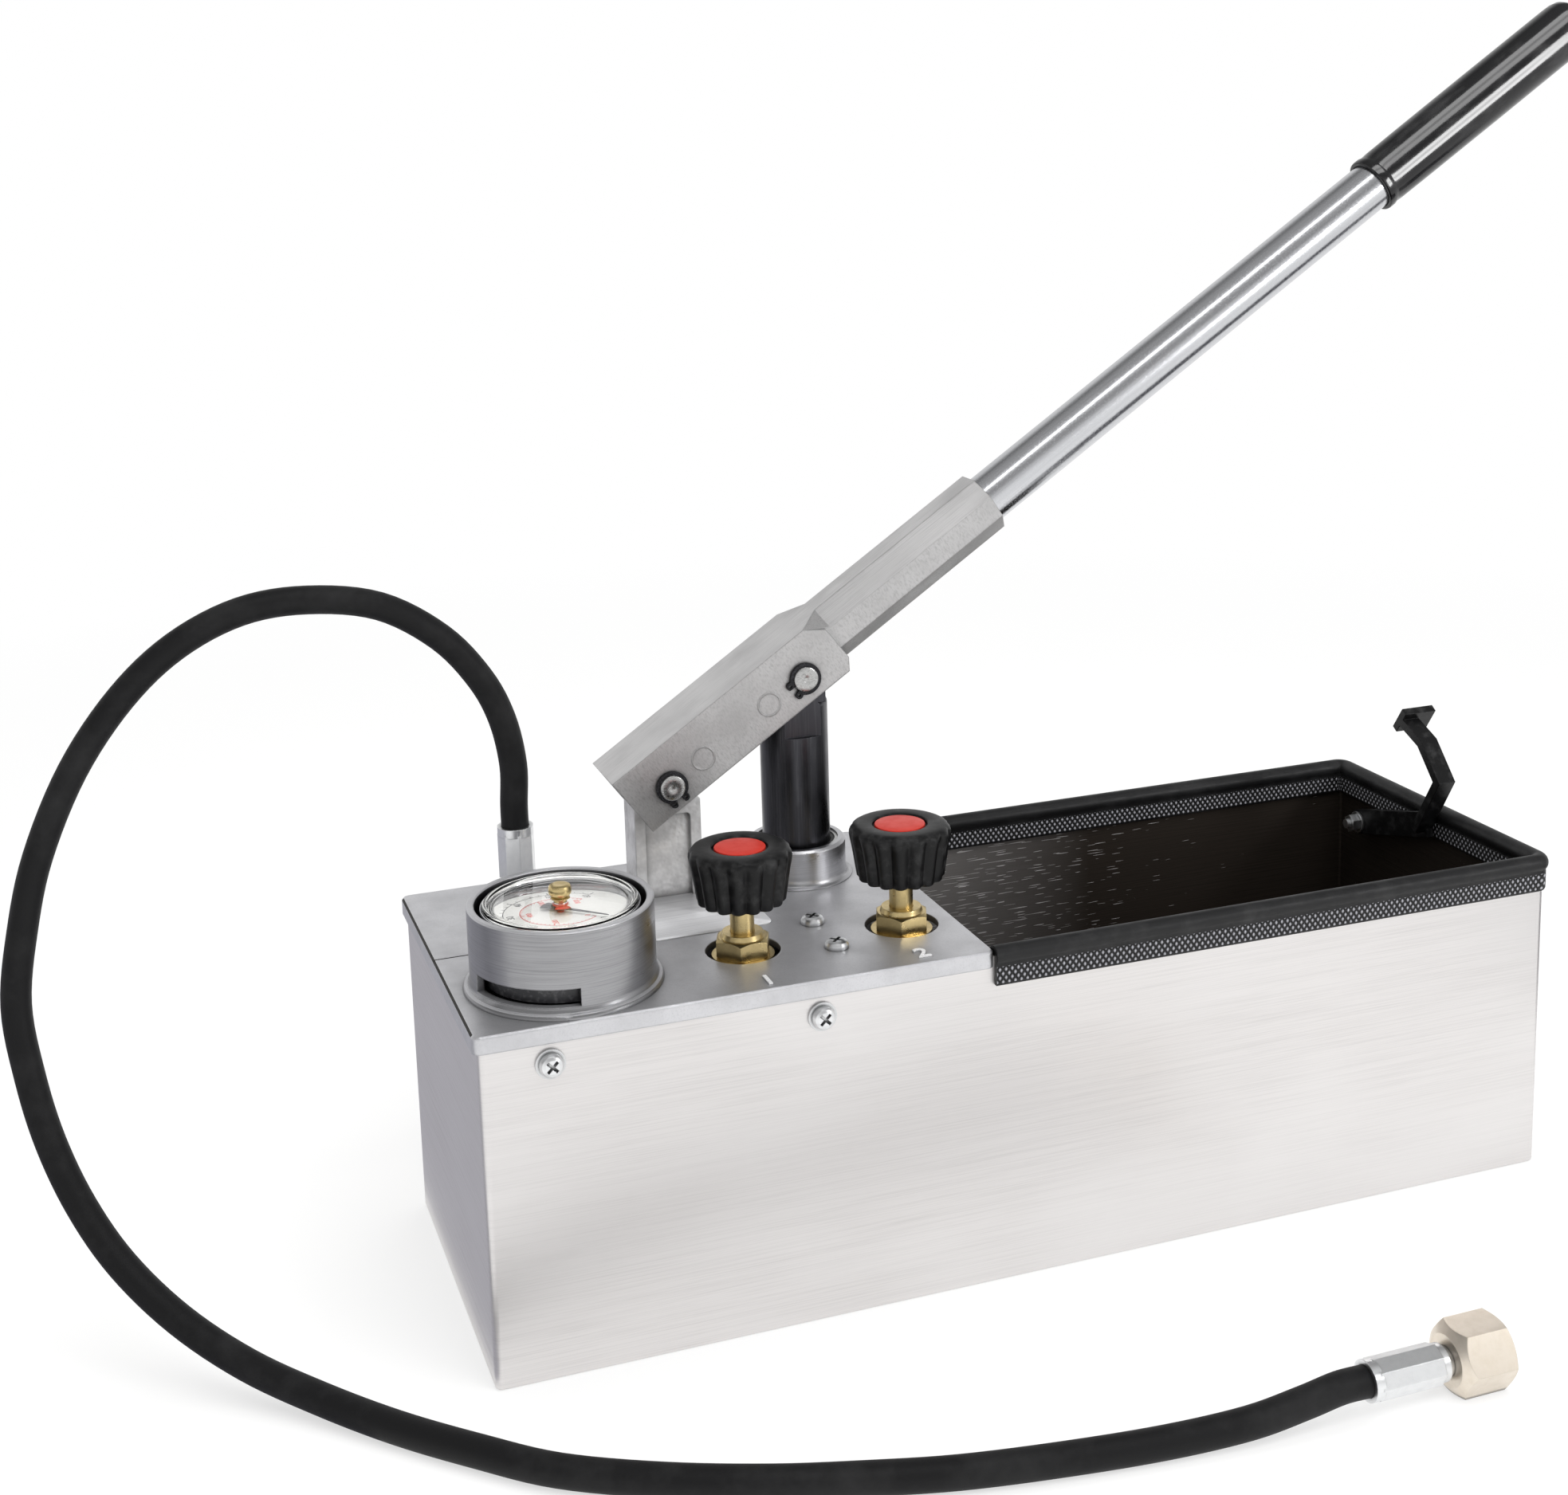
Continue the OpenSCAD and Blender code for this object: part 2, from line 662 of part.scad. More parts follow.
// Fluted hand knob: a turned body with grooves cut down its side.
module valve_knob(x) {
    foot_r = knob_r * 0.86;
    lean = atan2(knob_r - foot_r, knob_h);
    groove_r = knob_r * PI / knob_flutes * 0.42;
    color([0.1, 0.1, 0.1]) translate([x, valve_y, cover_top + knob_top - knob_h]) difference() {
        rotate_extrude() polygon([[0, 0], [foot_r - 2, 0], [foot_r, 2], [knob_r, knob_h - 5],
            [knob_r - 0.4, knob_h - 2.6], [knob_r - 1.8, knob_h - 0.9], [knob_r - 4.2, knob_h - 0.1],
            [cap_r + 1.6, knob_h], [0, knob_h]]);
        for (i = [0:knob_flutes - 1]) rotate((i + 0.5) * 360 / knob_flutes)
            translate([foot_r + groove_r * 0.25, 0, -2]) rotate([0, lean, 0])
                cylinder(h = knob_h * 0.9 + 1, r = groove_r, $fn = 24);
        translate([0, 0, knob_h - 1]) cylinder(h = 2, r = cap_r + seat);
        translate([0, 0, -1]) cylinder(h = knob_h - 5.5 + eps, r = spindle_d / 2 + seat);
    }
}

module valve_cap(x) {
    color("red") translate([x, valve_y, cover_top + knob_top - 1]) cylinder(h = 1, r = cap_r);
}

// ---- Gauge ----

gauge_top = cover_top + collar_h - 4;
gauge_bottom = gauge_top - gauge_h;
bezel_w = 3.2;
glass_t = 1.8;
dial_z = gauge_top - 12;
case_t = 1.2;
needle_shaft_r = 1.5;
needle_fan = 3.5;
reset_shaft_r = 1.6;

module on_gauge() {
    translate([gauge_x, gauge_y, 0]) children();
}

module gauge_case() {
    color("gray") on_gauge() difference() {
        translate([0, 0, gauge_bottom]) cylinder(h = gauge_h - 4, r = gauge_r);
        translate([0, 0, dial_z - 1.2]) cylinder(h = gauge_h, r = gauge_r - case_t);
        translate([0, 0, gauge_bottom - 1]) cylinder(h = 6, r = 6 + seat);
        translate([0, 0, dial_z - 5]) cylinder(h = 5, r = needle_shaft_r + slip);
    }
}

module gauge_stem() {
    color("goldenrod") on_gauge() {
        rod(0, 0, block_bottom + 14, gauge_bottom + 5, 6);
        rod(0, 0, block_top - 9, block_top + eps, 6.5);
        translate([0, 0, block_top]) cylinder(h = gauge_bottom - block_top, r = 8, $fn = 6);
    }
}

module gauge_bezel() {
    color("silver") on_gauge() rotate_extrude() polygon([
        [gauge_r + seat, gauge_top - 6], [gauge_r + 0.8, gauge_top - 6], [gauge_r + 0.8, gauge_top - 1],
        [gauge_r - 0.2, gauge_top], [gauge_r - 1.6, gauge_top], [gauge_r - bezel_w, gauge_top - 1.6],
        [gauge_r - bezel_w, gauge_top - 2.2], [gauge_r - 1.1, gauge_top - 2.2],
        [gauge_r - 1.1, gauge_top - 4], [gauge_r + seat, gauge_top - 4]]);
}

module gauge_glass() {
    color("lightcyan", 0.4) on_gauge()
        ring(gauge_top - 2.2 - glass_t, gauge_top - 2.2, reset_shaft_r + run, gauge_r - 1.1 - seat);
}

module gauge_dial() {
    color("white") on_gauge() ring(dial_z - 1.2, dial_z, 1.6, dial_r);
}

// Needle with a round hub and a tail that widens like a fan, from its root at the dial's middle.
module needle(z, length, hub_r, tail, heading, t) {
    rotate(heading) translate([0, 0, z]) linear_extrude(t) {
        circle(hub_r, $fn = 48);
        polygon([[-tail, needle_fan], [-tail - 0.9, 0], [-tail, -needle_fan], [0, -1],
            [length, -0.3], [length, 0.3], [0, 1]]);
    }
}

module gauge_pointer() {
    color("black") on_gauge() {
        needle(dial_z + 1.6, dial_r * 0.78, 3, 8, -45, 0.6);
        rod(0, 0, dial_z - 3, dial_z + 1.7, needle_shaft_r);
    }
}

module drag_pointer() {
    color("red") on_gauge() {
        needle(dial_z + 3.6, dial_r * 0.85, 3.4, 6, 86, 0.6);
        rod(0, 0, dial_z + 3.7, gauge_top - 1, reset_shaft_r);
    }
}

module reset_knob() {
    color("gold") on_gauge() translate([0, 0, gauge_top]) difference() {
        rotate_extrude() polygon([[0, -1.9], [2.6, -1.9], [2.6, 1], [4.6, 2], [4.8, 6], [4, 7], [0, 7]]);
        translate([0, 0, -3]) cylinder(h = 2, r = reset_shaft_r + seat);
    }
}

// ---- Piston, lever and link ----

flat_drop = 29;
tang_half = channel_w / 2 - loose;
shoulder_drop = 12.5;
shoulder_r = 3;

module piston() {
    color([0.25, 0.25, 0.27]) difference() {
        union() {
            translate([piston_x, piston_y, 0]) rotate_extrude() polygon([[0, piston_bottom],
                [piston_r - 1, piston_bottom], [piston_r, piston_bottom + 1],
                for (a = [0:15:90]) [piston_r - shoulder_r + shoulder_r * cos(a),
                    piston_pin_z - shoulder_drop - shoulder_r + shoulder_r * sin(a)],
                [0, piston_pin_z - shoulder_drop]]);
            cross_rod(piston_x, piston_pin_z, piston_y - tang_half, piston_y + tang_half, pin_r + 5.5);
            block(piston_x - pin_r - 5.5, piston_x + pin_r + 5.5, piston_y - tang_half,
                piston_y + tang_half, piston_pin_z - shoulder_drop - 1, piston_pin_z);
        }
        // Two flats let the lever's cheeks pass.
        for (side = [-1, 1]) translate([piston_x, piston_y + side * (tang_half + 10), piston_pin_z])
            translate([-30, -10, -flat_drop]) cube([60, 20, 60]);
        cross_rod(piston_x, piston_pin_z, piston_y - 30, piston_y + 30, pin_r + run);
        rod(piston_x, piston_y, piston_bottom - 1, piston_bottom + 30, piston_r - 6);
        translate([piston_x, piston_y, piston_bottom + 5]) ring(0, 4, piston_r - 2.2, piston_r + 1);
    }
}

module piston_seal() {
    color("black") translate([piston_x, piston_y, piston_bottom + 5])
        ring(0.1, 3.9, piston_r - 2.2 + seat, piston_r + 0.3);
}

// Octagonal section of the tube's socket, between two stations of the lever.
socket_half_w = tube_d / 2 + 3;
socket_half_h = tube_d / 2 + 2;
socket_cut_w = 8.3;
socket_cut_h = 8.4;

module socket(u0, u1) {
    translate([u0, 0, tube_rise]) rotate([90, 0, 90]) linear_extrude(u1 - u0) polygon([
        for (s = [[1, -1], [1, 1], [-1, 1], [-1, -1]])
            for (first = [0, 1])
                let (corner = (first == 0) == (s[0] * s[1] < 0))
                corner ? [s[0] * (socket_half_w - socket_cut_w), s[1] * socket_half_h]
                    : [s[0] * socket_half_w, s[1] * (socket_half_h - socket_cut_h)]]);
}

head_left = 19;
head_right = arm + 21;
socket_start = arm + 52;

module lever_head() {
    half = head_w / 2;
    // Side outline of the cheeks: square at the link, cut back in two corners at the socket.
    cheek = [[-head_left, -head_down], [arm + 19, -head_down], [arm + 22.5, -head_down * 0.5],
        [head_right, head_up - 7], [arm + 12, head_up], [-head_left - 1.5, head_up]];
    color("silver") on_lever() difference() {
        union() {
            translate([0, half, 0]) rotate([90, 0, 0]) linear_extrude(head_w) polygon(cheek);
            hull() {
                block(arm + 10, arm + 12, -half, half, 0, head_up);
                socket(head_right + 2, head_right + 3);
            }
            socket(arm + 12, socket_end);
            // Round ejector marks on the cheeks.
            for (u = [arm * 0.245, arm * 0.74])
                cross_rod(u, 1.2, -half - 0.25, half + 0.25, 5.6);
        }
        block(-head_left - 9, arm + 16.8, -channel_w / 2, channel_w / 2, -head_down - 9,
            head_up - cheek_t);
        for (u = [0, arm]) cross_rod(u, 0, -half - 1, half + 1, pin_r + seat);
        translate([socket_start, 0, tube_rise]) rotate([0, 90, 0])
            cylinder(h = socket_end, r = tube_d / 2 + seat);
        for (u = [arm * 0.245, arm * 0.74], side = [-1, 1])
            cross_rod(u, 1.2, side * (half + 1) - 1, side * (half + 1) + 1, 5);
    }
}

module lever_tube() {
    r = tube_d / 2;
    color("gainsboro") on_lever() translate([0, 0, tube_rise]) rotate([0, 90, 0])
        ring(socket_start + 0.1, lever_l - 5, r - tube_wall, r);
}

module lever_grip() {
    r = grip_d / 2;
    bore = tube_d / 2 + seat;
    color([0.08, 0.08, 0.08]) on_lever() translate([lever_l, 0, tube_rise]) rotate([0, 90, 0])
        rotate_extrude() polygon([[bore, -grip_l], [r - 0.6, -grip_l], [r, -grip_l + 0.8], [r, -6],
            [r - 0.8, -3.2], [r - 2.4, -1.2], [r - 5, -0.2], [r - 8, 0], [0, 0], [0, -5 + seat],
            [bore, -5 + seat]]);
}

pin_over = 2.6;
clip_t = 1;
clip_gap = 0.5;

// Pin with a groove for a circlip near each end, along Y.
module lever_pin(u) {
    half = head_w / 2 + pin_over;
    color("gainsboro") on_lever() translate([u, 0, 0]) rotate([90, 0, 0]) rotate_extrude() polygon([
        [0, -half], [pin_r - 0.8, -half], [pin_r, -half + 0.8],
        [pin_r, -half + pin_over - clip_gap - clip_t], [pin_r - 0.7, -half + pin_over - clip_gap - clip_t],
        [pin_r - 0.7, -half + pin_over - clip_gap], [pin_r, -half + pin_over - clip_gap],
        [pin_r, half - pin_over + clip_gap], [pin_r - 0.7, half - pin_over + clip_gap],
        [pin_r - 0.7, half - pin_over + clip_gap + clip_t], [pin_r, half - pin_over + clip_gap + clip_t],
        [pin_r, half - 0.8], [pin_r - 0.8, half], [0, half]]);
}

// Spring clips in the pins' grooves, each with a gap between two pierced ears.
module circlips() {
    ear = pin_r + 1.9;
    color([0.15, 0.15, 0.15]) on_lever() for (u = [0, arm], side = [-1, 1])
        translate([u, side * (head_w / 2 + clip_gap + clip_t / 2), 0]) rotate([90, u == 0 ? -50 : 170, 0])
            translate([0, 0, -clip_t / 2]) linear_extrude(clip_t) difference() {
                union() {
                    circle(pin_r + 1.5);
                    for (a = [-22, 22]) rotate(a) translate([ear, 0]) circle(1.9, $fn = 32);
                }
                circle(pin_r - 0.7 + seat);
                polygon([[0, 0], 12 * [cos(12), -sin(12)], 12 * [cos(12), sin(12)]]);
                for (a = [-22, 22]) rotate(a) translate([ear + 0.2, 0]) circle(0.8, $fn = 24);
            }
}

// The link's upper eye is a short slot: the coupled joints need this room round the pin.
eye_slide = 1.9;
eye_r = pin_r + 2.1;
eye_wall = 4.2;

module eye_plan(r) {
    for (side = [-1, 1]) translate([side * eye_slide, 0]) circle(r);
    translate([-eye_slide, -r]) square([2 * eye_slide, 2 * r]);
}

module link() {
    half = link_w / 2;
    foot = link_l;
    color("silver") translate([link_x, piston_y, link_pin_z]) rotate([90, 0, 0]) difference() {
        union() {
            translate([0, 0, -link_d / 2]) linear_extrude(link_d) {
                eye_plan(eye_r + eye_wall);
                translate([-half, -foot]) square([link_w, foot - 10]);
                polygon([[-half, -10.5], [half, -10.5], [half - 5, -5], [-half + 5, -5]]);
                translate([0, -foot]) circle(half);
            }
            translate([0, 0, -channel_w / 2 + loose]) linear_extrude(channel_w - 2 * loose)
                eye_plan(eye_r + eye_wall);
        }
        linear_extrude(100, center = true) eye_plan(eye_r);
        translate([0, -foot, -50]) cylinder(h = 100, r = pin_r + run);
        for (side = [-1, 1]) translate([0, 0, side * (link_d / 2 + 5)])
            linear_extrude(10 + 2 * link_hollow, center = true)
                rounded_plan(-half + link_flange, half - link_flange, -foot + 15, -16, 2);
    }
}

// ---- Hose ----

ferrule_r = ferrule_d / 2;
ferrule_z = cover_top + 9;
hose_start = ferrule_z + ferrule_l;
end_y = -224;
end_z = nut_af / 2;
end_x = 62;
end_ferrule_l = ferrule_l + 8;
hose_in = 12;

// The hose leaves its fitting upwards, arches over to the left and comes down to lie on the floor.
lie = hose_d / 2 + 0.2;
hose_route = [
    [hose_x, hose_y, hose_start - hose_in], [hose_x, hose_y, hose_start],
    [hose_x, hose_y, hose_start + 10], [-206, 58, 220],
    [-210, 58, 242], [-219, 58, 262], [-236, 58, 283], [-262, 58, 300], [-293, 58, 306],
    [-322, 57, 304], [-350, 56, 292], [-374, 55, 272], [-396, 54, 243], [-413, 52, 208],
    [-422, 48, 177], [-427, 42, 147], [-424, 33, 118], [-418, 22, 92], [-408, 8, 68],
    [-394, -8, 47], [-374, -28, 29], [-350, -50, 16], [-324, -74, 9], [-298, -101, lie],
    [-271, -128, lie], [-245, -151, lie], [-210, -171, lie], [-173, -187, lie], [-140, -198, lie],
    [-105, -208, lie], [-64, -215.5, lie], [-24, -220.5, lie], [10, -223.5, 8],
    [34, -224, 11], [end_x - 12, end_y, end_z], [end_x, end_y, end_z],
    [end_x + hose_in, end_y, end_z]];

// Points of a smooth curve through the route: each stretch is cut in equal shares.
function bend_point(a, b, c, d, t) = 0.5 * (2 * b + (c - a) * t
    + (2 * a - 5 * b + 4 * c - d) * t * t + (3 * b - a - 3 * c + d) * t * t * t);
function smooth(p, share) = [for (i = [0:len(p) - 2], j = [0:share - 1])
    bend_point(p[max(i - 1, 0)], p[i], p[i + 1], p[min(i + 2, len(p) - 1)], j / share),
    p[len(p) - 1]];
function unit(v) = v / norm(v);

module swept_tube(path, d, sides) {
    n = len(path);
    dirs = [for (i = [0:n - 1]) unit(path[min(i + 1, n - 1)] - path[max(i - 1, 0)])];
    rings = [for (i = [0:n - 1])
        let (side = unit(cross(dirs[i], [0.3, 1, 0.1])), up = cross(side, dirs[i]))
        [for (k = [0:sides - 1]) path[i] + d / 2 * (cos(k * 360 / sides) * side
            + sin(k * 360 / sides) * up)]];
    points = [for (r = rings) for (p = r) p];
    faces = [
        [for (k = [sides - 1:-1:0]) k],
        for (i = [0:n - 2], k = [0:sides - 1])
            [i * sides + k, i * sides + (k + 1) % sides,
                (i + 1) * sides + (k + 1) % sides, (i + 1) * sides + k],
        [for (k = [0:sides - 1]) (n - 1) * sides + k]];
    polyhedron(points, faces);
}

module hose() {
    color([0.1, 0.1, 0.1]) swept_tube(smooth(hose_route, 2), hose_d, 10);
}

// Crimped ferrule along +Z from z = 0: eight flats, a rolled mouth and a collar at its foot.
module ferrule(l, bore_depth) {
    difference() {
        union() {
            translate([0, 0, 3]) cylinder(h = l - 6, r = ferrule_r, $fn = 8);
            translate([0, 0, l - 4]) cylinder(h = 4, r = ferrule_r * 0.97);
            cylinder(h = 4, r = ferrule_r * 0.9);
        }
        translate([0, 0, l - bore_depth]) cylinder(h = bore_depth + 1, r = hose_d / 2 + seat);
        translate([0, 0, -1]) cylinder(h = l, r = 3);
    }
}

module hose_ferrule() {
    color("gainsboro") translate([hose_x, hose_y, ferrule_z]) ferrule(ferrule_l, hose_in);
}

module hose_nipple() {
    color("gainsboro") translate([hose_x, hose_y, 0]) difference() {
        union() {
            translate([0, 0, block_bottom + 14]) cylinder(h = ferrule_z - block_bottom - 14, r = 6);
            translate([0, 0, cover_top - 2]) cylinder(h = 6, r = nipple_r);
        }
        translate([0, 0, block_bottom + 13]) cylinder(h = 80, r = 3);
    }
}

module on_end() {
    translate([end_x, end_y, end_z]) rotate([0, 90, 0]) children();
}

module end_ferrule() {
    color("gainsboro") on_end() translate([0, 0, end_ferrule_l]) mirror([0, 0, 1])
        ferrule(end_ferrule_l, hose_in);
}

nut_start = end_ferrule_l + 2.5;
nipple_head_r = nut_bore_r - 0.4;
nut_pocket = 6.5;

// Nipple with a shoulder that the nut turns on and a head that seals on the gasket.
module end_nipple() {
    color("gainsboro") on_end() difference() {
        union() {
            translate([0, 0, end_ferrule_l]) cylinder(h = 8, r = 6);
            translate([0, 0, nut_start + 4.2]) cylinder(h = 3.6, r = nipple_head_r);
        }
        translate([0, 0, end_ferrule_l - 1]) cylinder(h = 30, r = 3);
    }
}

module nut_seal() {
    color("black") on_end() translate([0, 0, nut_start + 7.8]) ring(0, 2, 4.5, nipple_head_r);
}

module swivel_nut() {
    r = nut_af / sqrt(3);
    color([0.8, 0.76, 0.6]) on_end() translate([0, 0, nut_start]) difference() {
        intersection() {
            rotate(30) cylinder(h = nut_l, r = r, $fn = 6);
            rotate_extrude() polygon([[0, 0], [nut_af / 2 - 3, 0], [nut_af / 2, 2], [r + 0.1, 4],
                [r + 0.1, nut_l - 1.5], [nut_af / 2 - 0.4, nut_l], [0, nut_l]]);
        }
        translate([0, 0, -1]) cylinder(h = 9, r = 6 + run);
        translate([0, 0, 4]) cylinder(h = nut_pocket, r = nut_bore_r + 0.7);
        translate([0, 0, 4]) cylinder(h = nut_l, r = nut_bore_r);
    }
}

// ---- Hook that holds the folded lever ----

hook_back_x = right - sheet_t / 2 - trim_roll_r - 0.4;
plate_t = 3.8;
tab_l = 18;
hook_arm = [[-55, 13.5], [-72.5, 43.5], [-58, 60], [-42, 67]];
hook_tab = [[-45, 73], [-37.5, 62]];
hook_bar_w = 13;
hook_bar_l = 60;
hook_bar_rise = 16;

module hook_plan_extrude(x0, x1) {
    translate([x0, hook_y, hook_z]) rotate([90, 0, 90]) linear_extrude(x1 - x0) children();
}

module hook() {
    color([0.15, 0.15, 0.15]) difference() {
        union() {
            hook_plan_extrude(hook_back_x - plate_t, hook_back_x)
                rotate(180 - hook_bar_rise) round_bar(hook_bar_l, hook_bar_w);
            hook_plan_extrude(hook_back_x - hook_w, hook_back_x)
                ribbon(hook_arm, hook_t);
            hook_plan_extrude(hook_back_x - hook_w, hook_back_x - hook_w + tab_l)
                ribbon(hook_tab, hook_t * 0.85);
        }
        translate([0, hook_y, hook_z]) rotate([0, 90, 0])
            cylinder(h = tank_l, r = hook_screw_r + run);
    }
}

module on_hook_screw(x) {
    translate([x, hook_y, hook_z]) rotate([0, 90, 0]) children();
}

module hook_screw() {
    color("gainsboro") on_hook_screw(right) pan_screw(5, 3.4, hook_screw_r, right - hook_back_x + plate_t + 8);
}

// A spacer between the wall and the hook, and a washer under the nut.
module hook_washers() {
    gap = right - sheet_t - hook_back_x;
    color("gainsboro") {
        on_hook_screw(hook_back_x + 0.1) ring(0, gap - 0.1, hook_screw_r + seat, 5.5);
        on_hook_screw(hook_back_x - plate_t - 1.3) ring(0, 1.2, hook_screw_r + seat, 5.6);
    }
}

module hook_nut() {
    color("gainsboro") on_hook_screw(hook_back_x - plate_t - 1.3 - 4.5) difference() {
        cylinder(h = 4.5, r = 4.6, $fn = 6);
        translate([0, 0, -1]) cylinder(h = 7, r = hook_screw_r + seat);
    }
}

tank();
rim_trim();
cover();
side_screws();
side_washers();
cover_screws();
pump_body();
guide_bush();
wiper_ring();
suction_body();
suction_ball();
strainer();
check_plug();
check_spring();
check_ball();
link_base_pin();
valve_bonnet(valve_xs[0]);  // valve_1_bonnet
valve_gland_nut(valve_xs[0]);  // valve_1_gland_nut
valve_packing(valve_xs[0]);  // valve_1_packing
valve_tip(valve_xs[0]);  // valve_1_tip
valve_spindle(valve_xs[0]);  // valve_1_spindle
valve_knob(valve_xs[0]);  // valve_1_knob
valve_cap(valve_xs[0]);  // valve_1_cap
valve_bonnet(valve_xs[1]);  // valve_2_bonnet
valve_gland_nut(valve_xs[1]);  // valve_2_gland_nut
valve_packing(valve_xs[1]);  // valve_2_packing
valve_tip(valve_xs[1]);  // valve_2_tip
valve_spindle(valve_xs[1]);  // valve_2_spindle
valve_knob(valve_xs[1]);  // valve_2_knob
valve_cap(valve_xs[1]);  // valve_2_cap
gauge_case();
gauge_stem();
gauge_bezel();
gauge_glass();
gauge_dial();
gauge_pointer();
drag_pointer();
reset_knob();
piston();
piston_seal();
lever_head();
lever_tube();
lever_grip();
lever_pin(0);  // link_pin
lever_pin(arm);  // piston_pin
circlips();
link();
hose_nipple();
hose_ferrule();
hose();
end_ferrule();
end_nipple();
swivel_nut();
nut_seal();
hook();
hook_screw();
hook_nut();
hook_washers();
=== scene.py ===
"""Dressed model of a hand-operated pressure test pump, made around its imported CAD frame, in metres."""

import json
import math

import bmesh
import bpy
from mathutils import Matrix, Vector
from mathutils.bvhtree import BVHTree


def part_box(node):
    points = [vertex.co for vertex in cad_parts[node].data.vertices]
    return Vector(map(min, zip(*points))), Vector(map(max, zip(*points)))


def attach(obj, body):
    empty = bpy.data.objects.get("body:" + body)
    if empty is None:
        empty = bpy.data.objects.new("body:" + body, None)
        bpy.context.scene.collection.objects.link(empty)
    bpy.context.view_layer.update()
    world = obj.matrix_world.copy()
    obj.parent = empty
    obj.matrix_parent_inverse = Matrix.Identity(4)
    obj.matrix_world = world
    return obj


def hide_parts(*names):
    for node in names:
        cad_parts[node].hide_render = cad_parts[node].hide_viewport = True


bl_info = {
    "name": "Pressure test pump",
    "version": (1, 0, 0),
    "blender": (4, 5, 0),
    "location": "3D View > Sidebar > Pump",
    "description": "Dresses the CAD frame of a hand-operated pressure test pump for rendering",
    "category": "Object",
}

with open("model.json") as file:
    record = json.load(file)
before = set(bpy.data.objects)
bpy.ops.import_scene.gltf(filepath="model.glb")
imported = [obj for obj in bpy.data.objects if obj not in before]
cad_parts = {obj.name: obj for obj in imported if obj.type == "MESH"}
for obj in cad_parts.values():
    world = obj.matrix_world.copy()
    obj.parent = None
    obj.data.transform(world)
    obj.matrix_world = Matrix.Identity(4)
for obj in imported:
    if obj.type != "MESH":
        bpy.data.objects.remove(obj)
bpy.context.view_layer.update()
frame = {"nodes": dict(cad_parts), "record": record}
NODES = frame["nodes"]
BODY_OF = frame["record"]["behaviour"]["bodies"]
MM = 0.001
STAGE = []
# The collection of what the grip cards light.
GRIP_LIT = "lit by the grip cards"

# Image points in the photograph's frame, scaled to a long side of 1568: where each feature shows.
FRAME_PX = (1568, 1495)
# How near an image point a part of a group is looked for, and how far under a surface still counts as seen.
NEAR_PX = 20
SEEN_MM = 0.4
POINTS = {
    "tank_bottom_corner": (501.2, 1390.4),
    "tank_left_corner": (425.5, 1202.3),
    "tank_right_corner": (1531.4, 1157.1),
    "cover_front_corner": (478.3, 1040.3),
    "cover_back_corner": (401.8, 899.8),
    "gauge_reset_knob": (559.8, 891.2),
    "valve_1_cap": (741.4, 846.6),
    "valve_2_cap": (895.5, 823.3),
    "link_pin": (672.8, 787.2),
    "piston_pin": (806.1, 679.2),
    "side_screw_left": (551.3, 1065.3),
    "side_screw_right": (823.6, 1017.7),
    "cover_screw_back": (812.5, 919.9),
    "cover_screw_front": (836.4, 944.1),
    "hook_screw": (1352.7, 822.6),
    "swivel_nut": (1456.8, 1352.4),
    "label_plate": (773.6, 923.0),
    "mark_1": (768.0, 981.0),
    "mark_2": (922.0, 954.0),
}


# ---- Sizes and colours that a user may change ----


def srgb(code):
    """Linear colour of an sRGB hex code."""
    parts = [int(code[i : i + 2], 16) / 255 for i in (1, 3, 5)]
    return tuple(p / 12.92 if p <= 0.04045 else ((p + 0.055) / 1.055) ** 2.4 for p in parts)


def length(name, description, default, low=0.0, high=1.0):
    return bpy.props.FloatProperty(
        name=name, description=description, default=default, min=low, max=high, unit="LENGTH", precision=4
    )


def colour(name, description, code):
    return bpy.props.FloatVectorProperty(
        name=name, description=description, default=srgb(code), size=3, min=0, max=1, subtype="COLOR"
    )


def degrees(name, description, default):
    return bpy.props.FloatProperty(
        name=name, description=description, default=math.radians(default), subtype="ANGLE"
    )


class PumpSizes(bpy.types.PropertyGroup):
    """Sizes of the details that are added to the CAD frame"""

    edge: length("Cast edge", "Radius of the edges of the cast parts", 0.9 * MM)
    knob_rise: length("Knob lobe depth", "Depth of the valleys between a valve knob's lobes", 2.5 * MM)
    knob_lobes: bpy.props.IntProperty(
        name="Knob lobes", description="Lobes round a valve knob", default=16, min=8, max=24
    )
    knit_long: length("Knit pitch", "Length of one stitch of the rim trim's knitted band", 2.9 * MM)
    knit_high: length("Knit rows", "Height of two rows of the rim trim's knitted band", 3.8 * MM)
    knit_deep: length("Knit depth", "Height of a knuckle of the knitted band", 0.45 * MM)
    fold: length("Fold", "Radius of the tank's folds along its base", 1.8 * MM)
    plate_long: length("Plate length", "Length of the bare rating plate", 56 * MM)
    plate_wide: length("Plate width", "Width of the bare rating plate", 50 * MM)


